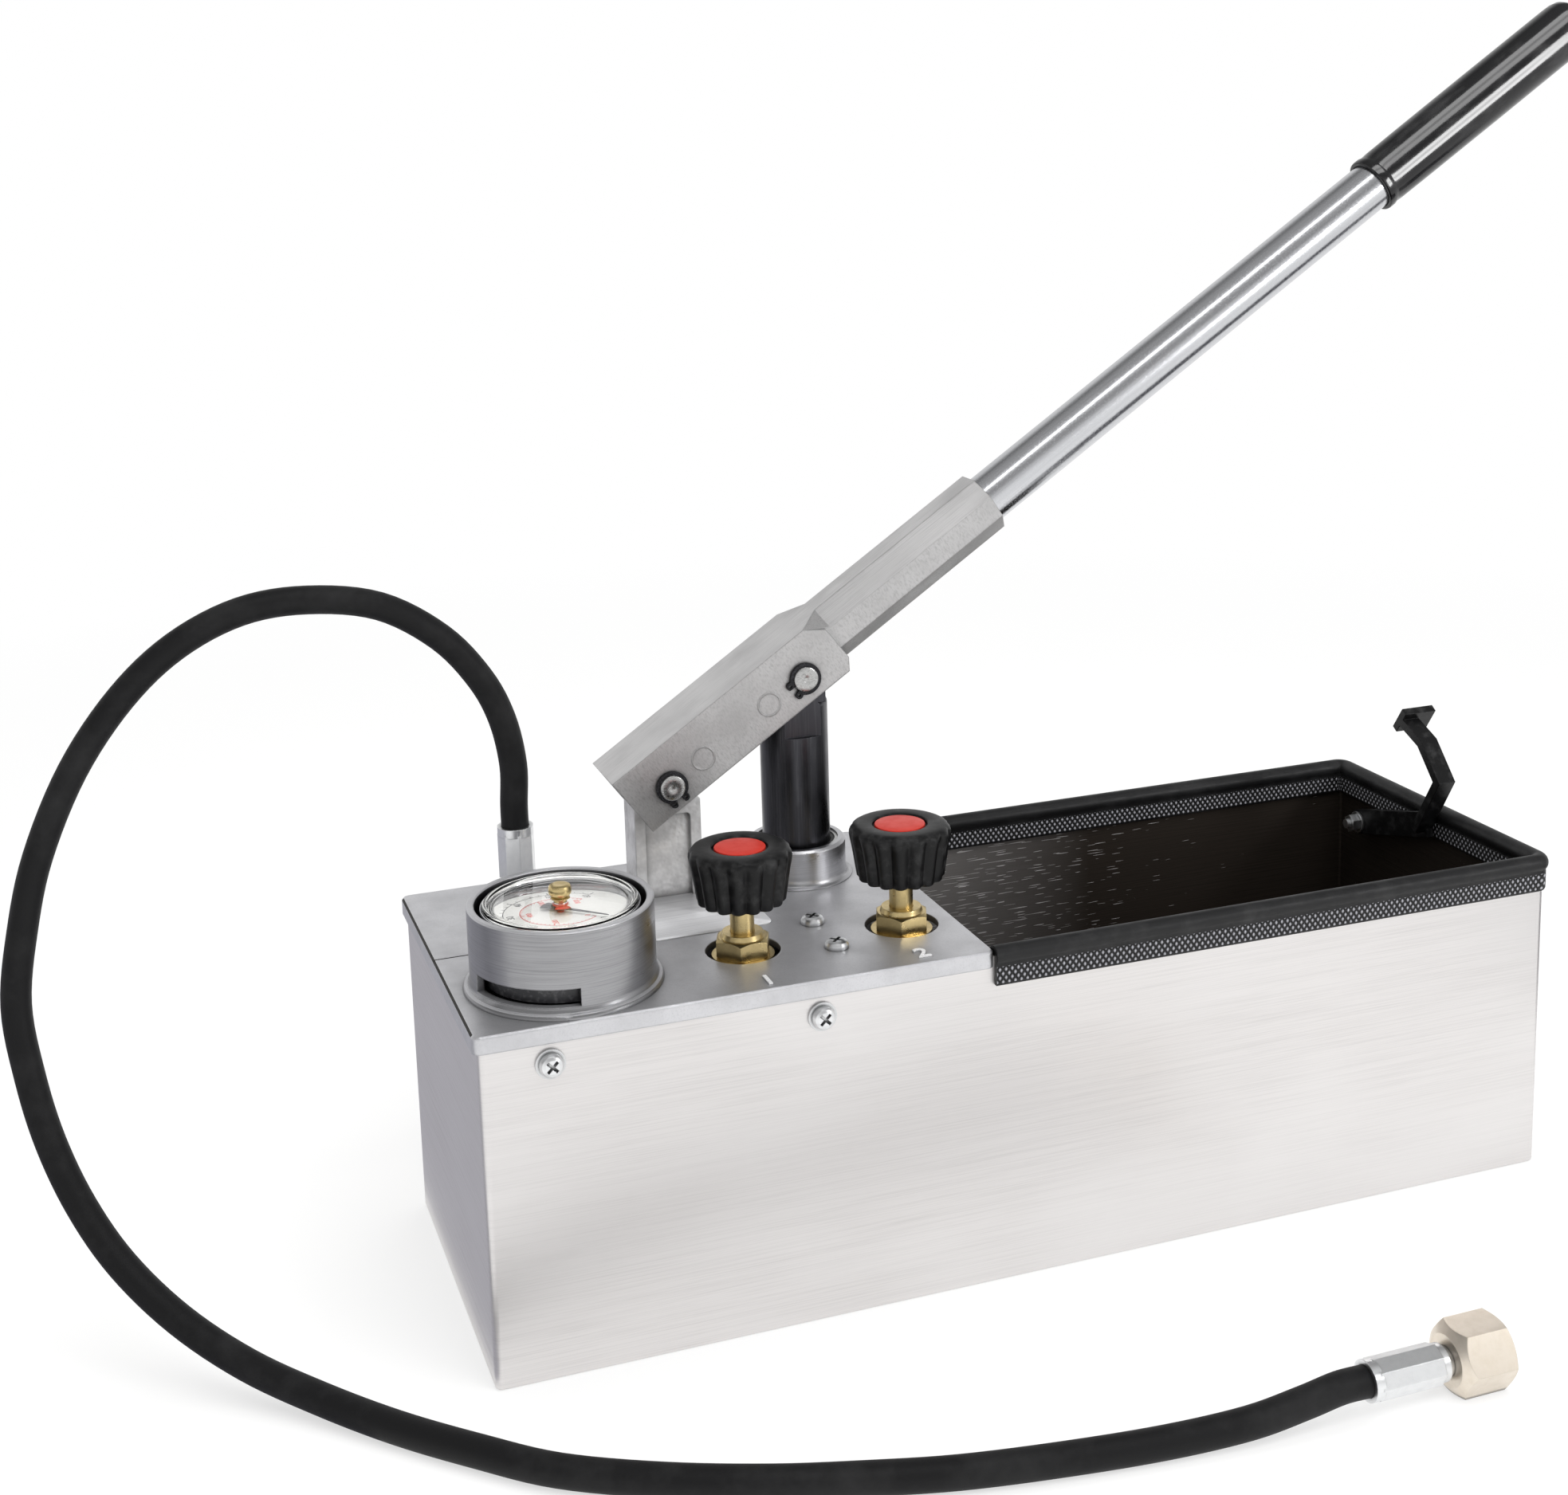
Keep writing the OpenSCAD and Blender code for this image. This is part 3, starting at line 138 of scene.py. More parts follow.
class PumpColours(bpy.types.PropertyGroup):
    """Colours of the pump's finishes"""

    stainless: colour("Tank sheet", "Brushed stainless sheet", "#E3E0DF")
    inside: colour("Tank inside", "The sheet's unlit inner side", "#423B35")
    cast: colour("Cover casting", "Tumbled aluminium casting", "#D2D2D5")
    lever: colour("Lever casting", "Die-cast aluminium of the lever and link", "#D2D1D1")
    rubber: colour("Rubber", "Hose and trim rubber", "#121213")
    knob: colour("Knob plastic", "Moulded knob and hook plastic", "#0F0F10")
    cap: colour("Knob cap", "Red disc in a valve knob", "#AE281B")
    brass: colour("Brass", "Machined brass", "#DAC48E")
    chrome: colour("Chrome", "Chromium plate on the tube and the bezel", "#CFD0D3")
    zinc: colour("Bright zinc", "Zinc plate on screws and ferrules", "#ECEDEE")
    yellow: colour("Yellow zinc", "Passivated zinc plate of the outlet nut", "#E8DED0")
    dark_steel: colour("Piston", "Blackened and ground steel", "#48484C")
    grip: colour("Grip", "Dipped vinyl grip", "#0A0A0B")
    dial: colour("Dial", "Enamelled dial", "#CFCECA")
    red_ink: colour("Red print", "Red scale and drag pointer", "#C8352B")


class PumpStudio(bpy.types.PropertyGroup):
    """Camera and light of the studio"""

    lens: bpy.props.FloatProperty(name="Lens", description="Focal length", default=48.776, unit="CAMERA")
    azimuth: degrees("Azimuth", "Direction of the camera from the pump's front", -19.2)
    elevation: degrees("Elevation", "Height of the camera's view above level", 10.5)
    roll: degrees("Roll", "Tilt of the camera about its view", -1.59)
    place: bpy.props.FloatVectorProperty(
        name="Place",
        description="Where the camera stands",
        default=(-0.39342, -0.86661, 0.50872),
        size=3,
        subtype="TRANSLATION",
    )
    shift_y: bpy.props.FloatProperty(
        name="Shift Y", description="The photograph's vertical framing", default=-0.1525
    )
    sky: bpy.props.FloatProperty(
        name="Sky", description="Strength of the studio's soft surrounding light", default=0.62
    )


# ---- Shader building ----


def add(tree, kind, inputs=None, **settings):
    """Adds a shader node of a kind, with its settings, and links or sets its inputs."""
    made = tree.nodes.new("ShaderNode" + kind)
    for key, value in settings.items():
        setattr(made, key, value)
    for key, value in (inputs or {}).items():
        if isinstance(value, bpy.types.Node):
            value = value.outputs[0]
        if isinstance(value, bpy.types.NodeSocket):
            tree.links.new(value, made.inputs[key])
        else:
            made.inputs[key].default_value = value
    return made


def finish(name, tint, roughness, metallic=0.0, **rest):
    """A new material whose shader has these even values. Returns it, its node tree and the shader."""
    material = bpy.data.materials.new(name)
    material.use_nodes = True
    material.diffuse_color = (*tint, 1)
    tree = material.node_tree
    shader = tree.nodes["Principled BSDF"]
    values = {"Base Color": (*tint, 1), "Roughness": roughness, "Metallic": metallic, **rest}
    for key, value in values.items():
        shader.inputs[key].default_value = value
    return material, tree, shader


def sheen(level):
    """The setting for how much a plastic, rubber or paint reflects."""
    return {"Specular IOR Level": level}


def local(tree, origin=(0, 0, 0), turn=(0, 0, 0)):
    """The point in a piece's own axes, in metres."""
    place = add(tree, "TexCoord").outputs["Object"]
    axes = {"Vector": place, "Location": origin, "Rotation": turn}
    return add(tree, "Mapping", axes, vector_type="TEXTURE")


def around(tree, origin, turn=(0, 0, 0)):
    """The point as radius, height and a slow turn about a round part's own Z axis."""
    flat = add(tree, "SeparateXYZ", {0: local(tree, origin, turn)})
    ring = add(tree, "CombineXYZ", {0: flat.outputs[0], 1: flat.outputs[1]})
    radius = add(tree, "VectorMath", {0: ring}, operation="LENGTH").outputs["Value"]
    way = add(tree, "VectorMath", {0: ring}, operation="NORMALIZE")
    slow = add(tree, "Math", {0: add(tree, "SeparateXYZ", {0: way}), 1: MM}, operation="MULTIPLY")
    return add(tree, "CombineXYZ", {0: radius, 1: flat.outputs[2], 2: slow})


def grain(tree, place, size, detail=3.0, rough=0.55):
    """Noise whose spots measure size, in millimetres along each axis of place."""
    fit = add(tree, "Mapping", {"Vector": place, "Scale": [1 / (s * MM) for s in size]})
    noise = {"Vector": fit, "Scale": 1.0, "Detail": detail, "Roughness": rough}
    return add(tree, "TexNoise", noise).outputs["Fac"]


def spread(tree, height, low, high, start=0.3, end=0.7):
    """A pattern's values from start to end, mapped to low and high."""
    return add(tree, "MapRange", {0: height, 1: start, 2: end, 3: low, 4: high}).outputs[0]


def stain(tree, shader, height, tint, start=0.35, end=0.75):
    """Blends the shader's colour towards tint where the pattern is high."""
    share = spread(tree, height, 0.0, 1.0, start, end)
    before = shader.inputs["Base Color"]
    first = before.links[0].from_socket if before.links else tuple(before.default_value)
    mixed = add(tree, "Mix", {0: share, 6: first, 7: (*tint, 1)}, data_type="RGBA")
    tree.links.new(mixed.outputs[2], before)


def gloss(tree, shader, height, low, high, start=0.3, end=0.7):
    tree.links.new(spread(tree, height, low, high, start, end), shader.inputs["Roughness"])


def relief(tree, shader, height, depth, edge=0.0):
    """Bumps of a depth in millimetres, over edges that are rounded by edge millimetres."""
    normal = shader.inputs["Normal"]
    inputs = {"Height": height, "Distance": depth * MM, "Strength": 1.0}
    if normal.links:
        inputs["Normal"] = normal.links[0].from_socket
    elif edge:
        inputs["Normal"] = add(tree, "Bevel", {"Radius": edge * MM}, samples=4)
    tree.links.new(add(tree, "Bump", inputs).outputs[0], normal)


def creases(tree, shader, tint, reach):
    """Paints shade into the shader's colour: towards tint in corners, within reach millimetres."""
    open_share = add(tree, "AmbientOcclusion", {"Distance": reach * MM}, samples=6).outputs["AO"]
    stain(tree, shader, open_share, tint, 0.95, 0.35)


def mixed(tint, other, share):
    return tuple(a + (b - a) * share for a, b in zip(tint, other))


WHITE, BLACK = (1.0, 1.0, 1.0), (0.0, 0.0, 0.0)


# ---- Finishes, named for their material and how it was made or for the painted shade they carry; several also carry painted light or shade ----

LINK_PIN = Vector((-141.29, 40.0, 211.0)) * MM
LEVER_REST_DEG = 33.5
LEVER_TURN = (0.0, -math.radians(LEVER_REST_DEG), 0.0)
GAUGE_AXIS = (-209.5 * MM, -42.0 * MM, 0.0)
PISTON_AXIS = (-76.0 * MM, 40.0 * MM, 0.0)


def brushed_stainless_sheet(tints):
    # Cold-rolled 1.4301 sheet, belt-brushed along the tank: long level hairlines and a soft even sheen.
    material, tree, shader = finish("brushed_stainless_sheet", tints.stainless, 0.36, 1.0)
    place = local(tree)
    hair = grain(tree, place, (60, 60, 0.5), 5.0, 0.7)
    cloud = grain(tree, place, (150, 150, 70), 2.0)
    stain(tree, shader, hair, mixed(tints.stainless, BLACK, 0.14), 0.45, 0.8)
    stain(tree, shader, cloud, mixed(tints.stainless, WHITE, 0.2), 0.4, 0.8)
    gloss(tree, shader, hair, 0.30, 0.48)
    relief(tree, shader, hair, 0.02, 0.5)
    return material


def dulled_stainless_inside(tints):
    # The same sheet's inner side: dark as painted shade, lighter towards the left end as painted light,
    # with pale dashes along it, more of them towards the left.
    material, tree, shader = finish("dulled_stainless_inside", tints.inside, 0.42, 0.7)
    place = local(tree)
    hair = grain(tree, place, (45, 45, 0.6), 4.0, 0.65)
    dash = grain(tree, place, (11, 0.5, 0.5), 0.0)
    along = add(tree, "SeparateXYZ", {0: place}).outputs[0]
    pale_dashes = add(tree, "Math", {0: along, 1: -0.9, 2: dash}, operation="MULTIPLY_ADD")
    stain(tree, shader, hair, mixed(tints.inside, BLACK, 0.4), 0.4, 0.75)
    # Lighter towards the left end: painted light.
    stain(tree, shader, along, mixed(tints.inside, tints.stainless, 0.55), 0.1, -0.05)
    stain(tree, shader, pale_dashes, tints.stainless, 0.65, 0.66)
    gloss(tree, shader, hair, 0.34, 0.55)
    relief(tree, shader, hair, 0.02)
    return material


def knitted_rubber_band(tints):
    # EPDM edge trim over a knitted carrier: offset rows of small glossy knuckles, dark pits between them,
    # and the knuckle tops coloured pale grey as painted highlights.
    material, tree, shader = finish("knitted_rubber_band", tints.rubber, 0.42)
    flat = add(tree, "SeparateXYZ", {0: add(tree, "UVMap", uv_map="length")})
    along = add(tree, "Math", {0: flat.outputs[0], 1: math.tau}, operation="MULTIPLY")
    up = add(tree, "Math", {0: flat.outputs[1], 1: math.tau}, operation="MULTIPLY")
    across, upward = (add(tree, "Math", {0: way}, operation="COSINE") for way in (along, up))
    both = add(tree, "Math", {0: across, 1: upward}, operation="ADD")
    knuckle = add(tree, "Math", {0: both}, operation="ABSOLUTE")
    # Pale grey on the knuckle tops: a painted highlight.
    stain(tree, shader, knuckle, srgb("#9A9AA0"), 0.8, 1.9)
    gloss(tree, shader, knuckle, 0.6, 0.34, 0.4, 1.8)
    relief(tree, shader, knuckle, 0.45)
    return material


def extruded_rubber(tints):
    # Extruded EPDM with a dull skin: nearly black, soft wide highlight, faint drag marks and dust.
    material, tree, shader = finish("extruded_rubber", tints.rubber, 0.46, **sheen(0.36))
    place = local(tree)
    drag = grain(tree, place, (8, 8, 1.2), 4.0)
    dust = grain(tree, place, (22, 22, 22), 5.0, 0.7)
    stain(tree, shader, dust, mixed(tints.rubber, WHITE, 0.02), 0.5, 0.9)
    gloss(tree, shader, drag, 0.38, 0.56)
    relief(tree, shader, drag, 0.05, 0.4)
    return material


def cloth_wrapped_hose_rubber(tints):
    # Steam-cured hose cover with the faint print of the cloth it was wrapped in: matt, almost black.
    material, tree, shader = finish("cloth_wrapped_hose_rubber", tints.rubber, 0.55, **sheen(0.2))
    place = local(tree)
    weave = grain(tree, place, (0.9, 0.9, 0.9), 2.0)
    dust = grain(tree, place, (30, 30, 30), 4.0, 0.65)
    stain(tree, shader, dust, mixed(tints.rubber, WHITE, 0.015), 0.45, 0.85)
    gloss(tree, shader, dust, 0.48, 0.62)
    relief(tree, shader, weave, 0.06)
    return material


def tumbled_aluminium_casting(tints):
    # Sand-tumbled aluminium die casting: fine satin grain, faint grey clouds, edges rubbed bright, painted
    # shade darkening its corners.
    material, tree, shader = finish("tumbled_aluminium_casting", tints.cast, 0.4, 0.84)
    place = local(tree)
    fine = grain(tree, place, (0.7, 0.7, 0.7), 4.0, 0.6)
    cloud = grain(tree, place, (26, 26, 26), 4.0, 0.6)
    stain(tree, shader, cloud, mixed(tints.cast, BLACK, 0.16), 0.42, 0.75)
    stain(tree, shader, fine, mixed(tints.cast, BLACK, 0.16), 0.5, 0.8)
    creases(tree, shader, mixed(tints.cast, BLACK, 0.75), 5.0)
    gloss(tree, shader, cloud, 0.34, 0.46)
    relief(tree, shader, fine, 0.035, 1.0)
    return material


def turned_aluminium(name, tints, axis, shade):
    # shade darkens the metal's colour as painted shade; painted shade also darkens its corners.
    material, tree, shader = finish(name, mixed(tints.cast, BLACK, shade), 0.3, 1.0)
    place = around(tree, axis)
    tool = grain(tree, place, (0.5, 0.5, 0.9), 4.0, 0.6)
    cloud = grain(tree, place, (3, 9, 0.8), 3.0)
    stain(tree, shader, tool, mixed(tints.cast, BLACK, 0.2 + shade), 0.45, 0.8)
    creases(tree, shader, mixed(tints.cast, BLACK, 0.8), 5.0)
    gloss(tree, shader, cloud, 0.24, 0.4)
    relief(tree, shader, tool, 0.02, 0.8)
    return material


def turned_collar(tints):
    # The collar's wall, skimmed on a lathe: fine rings round it that catch the light in bands; its colour
    # is darkened as painted shade.
    return turned_aluminium("turned_collar", tints, GAUGE_AXIS, 0.42)


def turned_boss(tints):
    # The piston boss, bored and faced: fine rings round the piston.
    return turned_aluminium("turned_boss", tints, PISTON_AXIS, 0.06)


def rubbed_marks(tints):
    # Raised cast figures rubbed bright by hands, with painted shade round their feet.
    material, tree, shader = finish("rubbed_marks", srgb("#F2F2F2"), 0.3, 0.35)
    scuff = grain(tree, local(tree), (0.8, 0.8, 0.8), 3.0)
    stain(tree, shader, scuff, srgb("#C8C8CA"), 0.45, 0.8)
    creases(tree, shader, srgb("#8A8886"), 0.6)
    gloss(tree, shader, scuff, 0.24, 0.4)
    return material


def grimy_groove(tints):
    # The casting's shallow groove, coloured near black: painted shade in the groove.
    material, tree, shader = finish("grimy_groove", srgb("#1E1C1A"), 0.7)
    dirt = grain(tree, local(tree), (1, 1, 1), 3.0)
    stain(tree, shader, dirt, srgb("#3A3835"), 0.4, 0.7)
    gloss(tree, shader, dirt, 0.6, 0.8)
    return material


def lever_casting(name, tints, size, depth, shade):
    # shade darkens the colour as painted shade, and a negative shade lightens it as painted light; painted
    # shade also darkens its corners.
    material, tree, shader = finish(name, mixed(tints.lever, BLACK, shade), 0.4, 1.0)
    place = local(tree, LINK_PIN, LEVER_TURN)
    skin = grain(tree, place, size, 4.0, 0.6)
    cloud = grain(tree, place, (30, 18, 18), 4.0, 0.6)
    stain(tree, shader, skin, mixed(tints.lever, BLACK, 0.24 + shade), 0.46, 0.76)
    stain(tree, shader, cloud, mixed(tints.lever, BLACK, 0.12 + shade), 0.45, 0.8)
    creases(tree, shader, mixed(tints.lever, BLACK, 0.7), 4.0)
    gloss(tree, shader, cloud, 0.34, 0.5)
    relief(tree, shader, skin, depth, 1.0)
    return material


def lever_cheek_casting(tints):
    # As-cast aluminium skin: matt, slightly rippled where the metal froze against the die, its colour
    # darkened as painted shade.
    return lever_casting("lever_cheek_casting", tints, (0.7, 0.7, 1.8), 0.08, 0.16)


def lever_roof_linished(tints):
    # The same casting, linished along its roof with drawn lines along the lever, and brighter as painted
    # light on the faces that look up.
    return lever_casting("lever_roof_linished", tints, (22, 0.4, 0.4), 0.03, -0.1)


def link_casting(tints):
    # Cast link with a hammered web: small shallow dimples. Its colour is the lever's alloy lightened with
    # white, painted light, and painted shade darkens its corners.
    material, tree, shader = finish("link_casting", mixed(tints.lever, WHITE, 0.3), 0.4, 0.65)
    place = local(tree)
    cells = {"Vector": place, "Scale": 1 / (1.8 * MM)}
    dimple = add(tree, "TexVoronoi", cells, feature="SMOOTH_F1").outputs[0]
    cloud = grain(tree, place, (9, 9, 9), 3.0)
    stain(tree, shader, cloud, mixed(tints.lever, BLACK, 0.15), 0.4, 0.7)
    gloss(tree, shader, cloud, 0.3, 0.46)
    creases(tree, shader, mixed(tints.lever, BLACK, 0.8), 4.0)
    relief(tree, shader, dimple, 0.2, 0.8)
    return material


def chromed_tube(tints):
    # Drawn steel tube under thin chromium: mirror-like along it, tiny pits break the dark reflections.
    material, tree, shader = finish("chromed_tube", tints.chrome, 0.18, 1.0)
    place = local(tree, LINK_PIN, LEVER_TURN)
    pits = grain(tree, place, (0.9, 0.6, 0.6), 3.0, 0.7)
    draw = grain(tree, place, (90, 0.8, 0.8), 3.0)
    stain(tree, shader, draw, mixed(tints.chrome, BLACK, 0.1), 0.45, 0.8)
    gloss(tree, shader, pits, 0.12, 0.3)
    relief(tree, shader, pits, 0.012)
    return material


def dipped_vinyl(tints):
    # Thick dipped vinyl: deep black with a wet, slightly wavy gloss.
    material, tree, shader = finish("dipped_vinyl", tints.grip, 0.14, **sheen(0.4))
    place = local(tree, LINK_PIN, LEVER_TURN)
    peel = grain(tree, place, (5, 3, 3), 2.0)
    smear = grain(tree, place, (30, 9, 9), 4.0, 0.65)
    stain(tree, shader, smear, mixed(tints.grip, WHITE, 0.02), 0.5, 0.9)
    gloss(tree, shader, smear, 0.11, 0.17)
    relief(tree, shader, peel, 0.012)
    return material


def moulded_black_plastic(tints):
    # Glass-filled nylon from a spark-eroded mould: matt grain over every face, a little shiny from use.
    tint = mixed(tints.knob, BLACK, 0.4)
    material, tree, shader = finish("moulded_black_plastic", tint, 0.4, **sheen(0.28))
    place = local(tree)
    spark = grain(tree, place, (0.5, 0.5, 0.5), 2.0)
    wear = grain(tree, place, (7, 7, 7), 4.0, 0.65)
    stain(tree, shader, wear, mixed(tints.knob, WHITE, 0.03), 0.5, 0.85)
    gloss(tree, shader, wear, 0.32, 0.5)
    relief(tree, shader, spark, 0.03, 0.4)
    return material


def moulded_red_plastic(tints):
    # Polished ABS insert: even red, low sheen with a soft swirl from the gate.
    material, tree, shader = finish("moulded_red_plastic", tints.cap, 0.36, **sheen(0.3))
    flow = grain(tree, local(tree), (5, 5, 5), 3.0)
    stain(tree, shader, flow, mixed(tints.cap, BLACK, 0.12), 0.45, 0.8)
    gloss(tree, shader, flow, 0.28, 0.42)
    relief(tree, shader, flow, 0.04, 0.3)
    return material


def machined_brass(tints):
    # Free-cutting brass straight off the lathe: warm, bright, with fine tool rings and a little tarnish.
    material, tree, shader = finish("machined_brass", tints.brass, 0.24, 1.0)
    place = local(tree)
    tool = grain(tree, place, (6, 6, 0.35), 3.0)
    tarnish = grain(tree, place, (6, 6, 6), 5.0, 0.65)
    stain(tree, shader, tarnish, mixed(tints.brass, srgb("#5A4420"), 0.25), 0.45, 0.8)
    gloss(tree, shader, tarnish, 0.24, 0.38)
    relief(tree, shader, tool, 0.02, 0.3)
    return material


def blackened_steel(tints):
    # Ground steel, chemically blackened: satin black with fine lines up and down from the stroke.
    material, tree, shader = finish("blackened_steel", tints.dark_steel, 0.34, 1.0)
    place = local(tree)
    stroke = grain(tree, place, (0.8, 0.8, 26), 4.0, 0.6)
    cloud = grain(tree, place, (12, 12, 20), 3.0)
    stain(tree, shader, stroke, mixed(tints.dark_steel, WHITE, 0.05), 0.5, 0.85)
    gloss(tree, shader, cloud, 0.26, 0.42)
    relief(tree, shader, stroke, 0.005, 0.6)
    return material


def turned_steel(tints):
    # Plain turned steel pins and bush: bright with fine rings.
    material, tree, shader = finish("turned_steel", srgb("#B9B9B8"), 0.28, 1.0)
    place = local(tree)
    tool = grain(tree, place, (1.2, 0.4, 0.4), 3.0)
    stain(tree, shader, tool, srgb("#8C8C8C"), 0.5, 0.8)
    gloss(tree, shader, tool, 0.2, 0.38)
    relief(tree, shader, tool, 0.015, 0.3)
    return material


def phosphated_spring_steel(tints):
    # Phosphated circlips: dark grey, crystalline and dry.
    material, tree, shader = finish("phosphated_spring_steel", srgb("#2E2E30"), 0.5, 0.9)
    dots = grain(tree, local(tree), (0.6, 0.6, 0.6), 3.0)
    stain(tree, shader, dots, srgb("#55555A"), 0.5, 0.75)
    gloss(tree, shader, dots, 0.4, 0.6)
    relief(tree, shader, dots, 0.03, 0.2)
    return material


def zinc_plate(name, tint, patch, warm):
    material, tree, shader = finish(name, tint, 0.32, 1.0)
    place = local(tree)
    patchy = grain(tree, place, (4, 4, 4), 4.0, 0.6)
    fine = grain(tree, place, (0.6, 0.6, 0.6), 2.0)
    stain(tree, shader, patchy, mixed(tint, warm, patch), 0.42, 0.75)
    # Painted shade darkens the plate's colour in its corners.
    creases(tree, shader, mixed(tint, BLACK, 0.7), 2.0)
    gloss(tree, shader, patchy, 0.3, 0.38)
    relief(tree, shader, fine, 0.003, 0.4)
    return material


def bright_zinc(tints):
    # Bright zinc electroplate: silvery with a cool cast and slightly milky patches.
    return zinc_plate("bright_zinc", tints.zinc, 0.12, srgb("#8E9398"))


def yellow_zinc(tints):
    # Yellow-passivated zinc: pale straw with warmer patches along the flats.
    return zinc_plate("yellow_zinc", tints.yellow, 0.16, srgb("#B0A080"))


def polished_chromium(tints):
    # Polished chromium on the gauge's pressed bezel: a mirror with faint polishing marks.
    material, tree, shader = finish("polished_chromium", tints.chrome, 0.08, 1.0)
    rub = grain(tree, around(tree, GAUGE_AXIS), (0.6, 0.6, 0.7), 3.0)
    stain(tree, shader, rub, mixed(tints.chrome, BLACK, 0.12), 0.5, 0.85)
    gloss(tree, shader, rub, 0.05, 0.14)
    relief(tree, shader, rub, 0.006, 0.3)
    return material


def enamelled_dial(tints):
    # White enamel on pressed aluminium: clean and even with a faint orange-peel sheen.
    material, tree, shader = finish("enamelled_dial", tints.dial, 0.4)
    peel = grain(tree, local(tree), (1.5, 1.5, 1.5), 2.0)
    stain(tree, shader, peel, mixed(tints.dial, BLACK, 0.05), 0.4, 0.8)
    gloss(tree, shader, peel, 0.34, 0.46)
    relief(tree, shader, peel, 0.01)
    return material


def printed_ink(name, tint, size, roughness):
    material, tree, shader = finish(name, tint, roughness)
    spots = grain(tree, local(tree), (size, size, size), 2.0)
    stain(tree, shader, spots, mixed(tint, WHITE, 0.08), 0.5, 0.8)
    gloss(tree, shader, spots, roughness - 0.06, roughness + 0.08)
    return material


def black_ink(tints):
    # Screen-printed black scale: matt with the screen's faint grain.
    return printed_ink("black_ink", srgb("#2A2A2C"), 0.5, 0.5)


def red_ink(tints):
    # Screen-printed red scale, of the same matt ink.
    return printed_ink("red_ink", tints.red_ink, 0.5, 0.5)


def black_paint(tints):
    # Stoved black paint on the pressed pointer: dark grey and smooth, with a low sheen.
    return printed_ink("black_paint", srgb("#333336"), 2.0, 0.36)


def red_paint(tints):
    # Stoved red paint on the pressed drag pointer.
    return printed_ink("red_paint", mixed(tints.red_ink, tints.cap, 0.5), 2.0, 0.36)


def satin_rating_plate(tints):
    # Bare anodised rating plate: pale, even and satin, the rolling direction just showing along it.
    material, tree, shader = finish("satin_rating_plate", srgb("#E4E4E6"), 0.38, 0.2)
    roll = grain(tree, local(tree), (40, 0.6, 0.6), 3.0)
    stain(tree, shader, roll, srgb("#C4C4C6"), 0.45, 0.8)
    gloss(tree, shader, roll, 0.32, 0.44)
    relief(tree, shader, roll, 0.008, 0.2)
    return material


def clear_acrylic(tints):
    # Moulded acrylic lens: clear, with the faintest haze from wiping.
    clear_body = {"Transmission Weight": 1.0, "IOR": 1.49}
    material, tree, shader = finish("clear_acrylic", WHITE, 0.02, **clear_body)
    wipe = grain(tree, around(tree, GAUGE_AXIS), (6, 6, 0.5), 4.0)
    gloss(tree, shader, wipe, 0.0, 0.05, 0.4, 0.9)
    shade = add(tree, "LightPath").outputs["Is Shadow Ray"]
    clear = add(tree, "BsdfTransparent", {"Color": (0.96, 0.97, 0.97, 1)})
    both = add(tree, "MixShader", {0: shade, 1: shader.outputs[0], 2: clear})
    tree.links.new(both.outputs[0], tree.nodes["Material Output"].inputs[0])
    return material


def pale_moulding(tints):
    # PTFE packing: milky white and waxy.
    material, tree, shader = finish("pale_moulding", srgb("#E6E3DA"), 0.4)
    wax = grain(tree, local(tree), (2, 2, 2), 2.0)
    stain(tree, shader, wax, srgb("#CFCBC0"), 0.4, 0.8)
    gloss(tree, shader, wax, 0.32, 0.48)
    return material


COATS = {
    "tank_steel": brushed_stainless_sheet,
    "dark_rubber": extruded_rubber,
    "cast_alloy": tumbled_aluminium_casting,
    "zinc_steel": bright_zinc,
    "body_alloy": tumbled_aluminium_casting,
    "turned_steel": turned_steel,
    "black_rubber": extruded_rubber,
    "brass": machined_brass,
    "strainer_steel": turned_steel,
    "white_plastic": pale_moulding,
    "black_plastic": moulded_black_plastic,
    "red_plastic": moulded_red_plastic,
    "gauge_metal": polished_chromium,
    "glass": clear_acrylic,
    "dial_white": enamelled_dial,
    "pointer_black": black_paint,
    "pointer_red": red_paint,
    "piston_steel": blackened_steel,
    "lever_alloy": lever_cheek_casting,
    "chrome": chromed_tube,
    "grip_black": dipped_vinyl,
    "clip_steel": phosphated_spring_steel,
    "hose_rubber": cloth_wrapped_hose_rubber,
    "zinc_fitting": bright_zinc,
    "yellow_zinc": yellow_zinc,
}
NODE_COATS = {"gauge_case": black_paint, "link": link_casting}
MADE = {}


def coat(piece, *makers):
    """Gives a piece its finishes, each made when it is first asked for."""
    tints = bpy.context.scene.pump_colours
    if piece.data.materials:
        piece.data.materials.clear()
    for maker in makers:
        if maker.__name__ not in MADE:
            MADE[maker.__name__] = maker(tints)
        piece.data.materials.append(MADE[maker.__name__])
    return piece


# ---- Sizes in millimetres, most of them the CAD source's; profiles are lists of (radius, height) ----

COVER_TOP = 155.0
ARM = 78.3
LEVER = Matrix.Translation(LINK_PIN) @ Matrix.Rotation(LEVER_TURN[1], 4, "Y")
ROOF_RISE = 0.55
ALONG_TUBE = Matrix.Translation((0, 0, 5 * MM)) @ Matrix.Rotation(math.radians(90), 4, "Y")
COVER_COATS = (tumbled_aluminium_casting, turned_collar, turned_boss, grimy_groove)
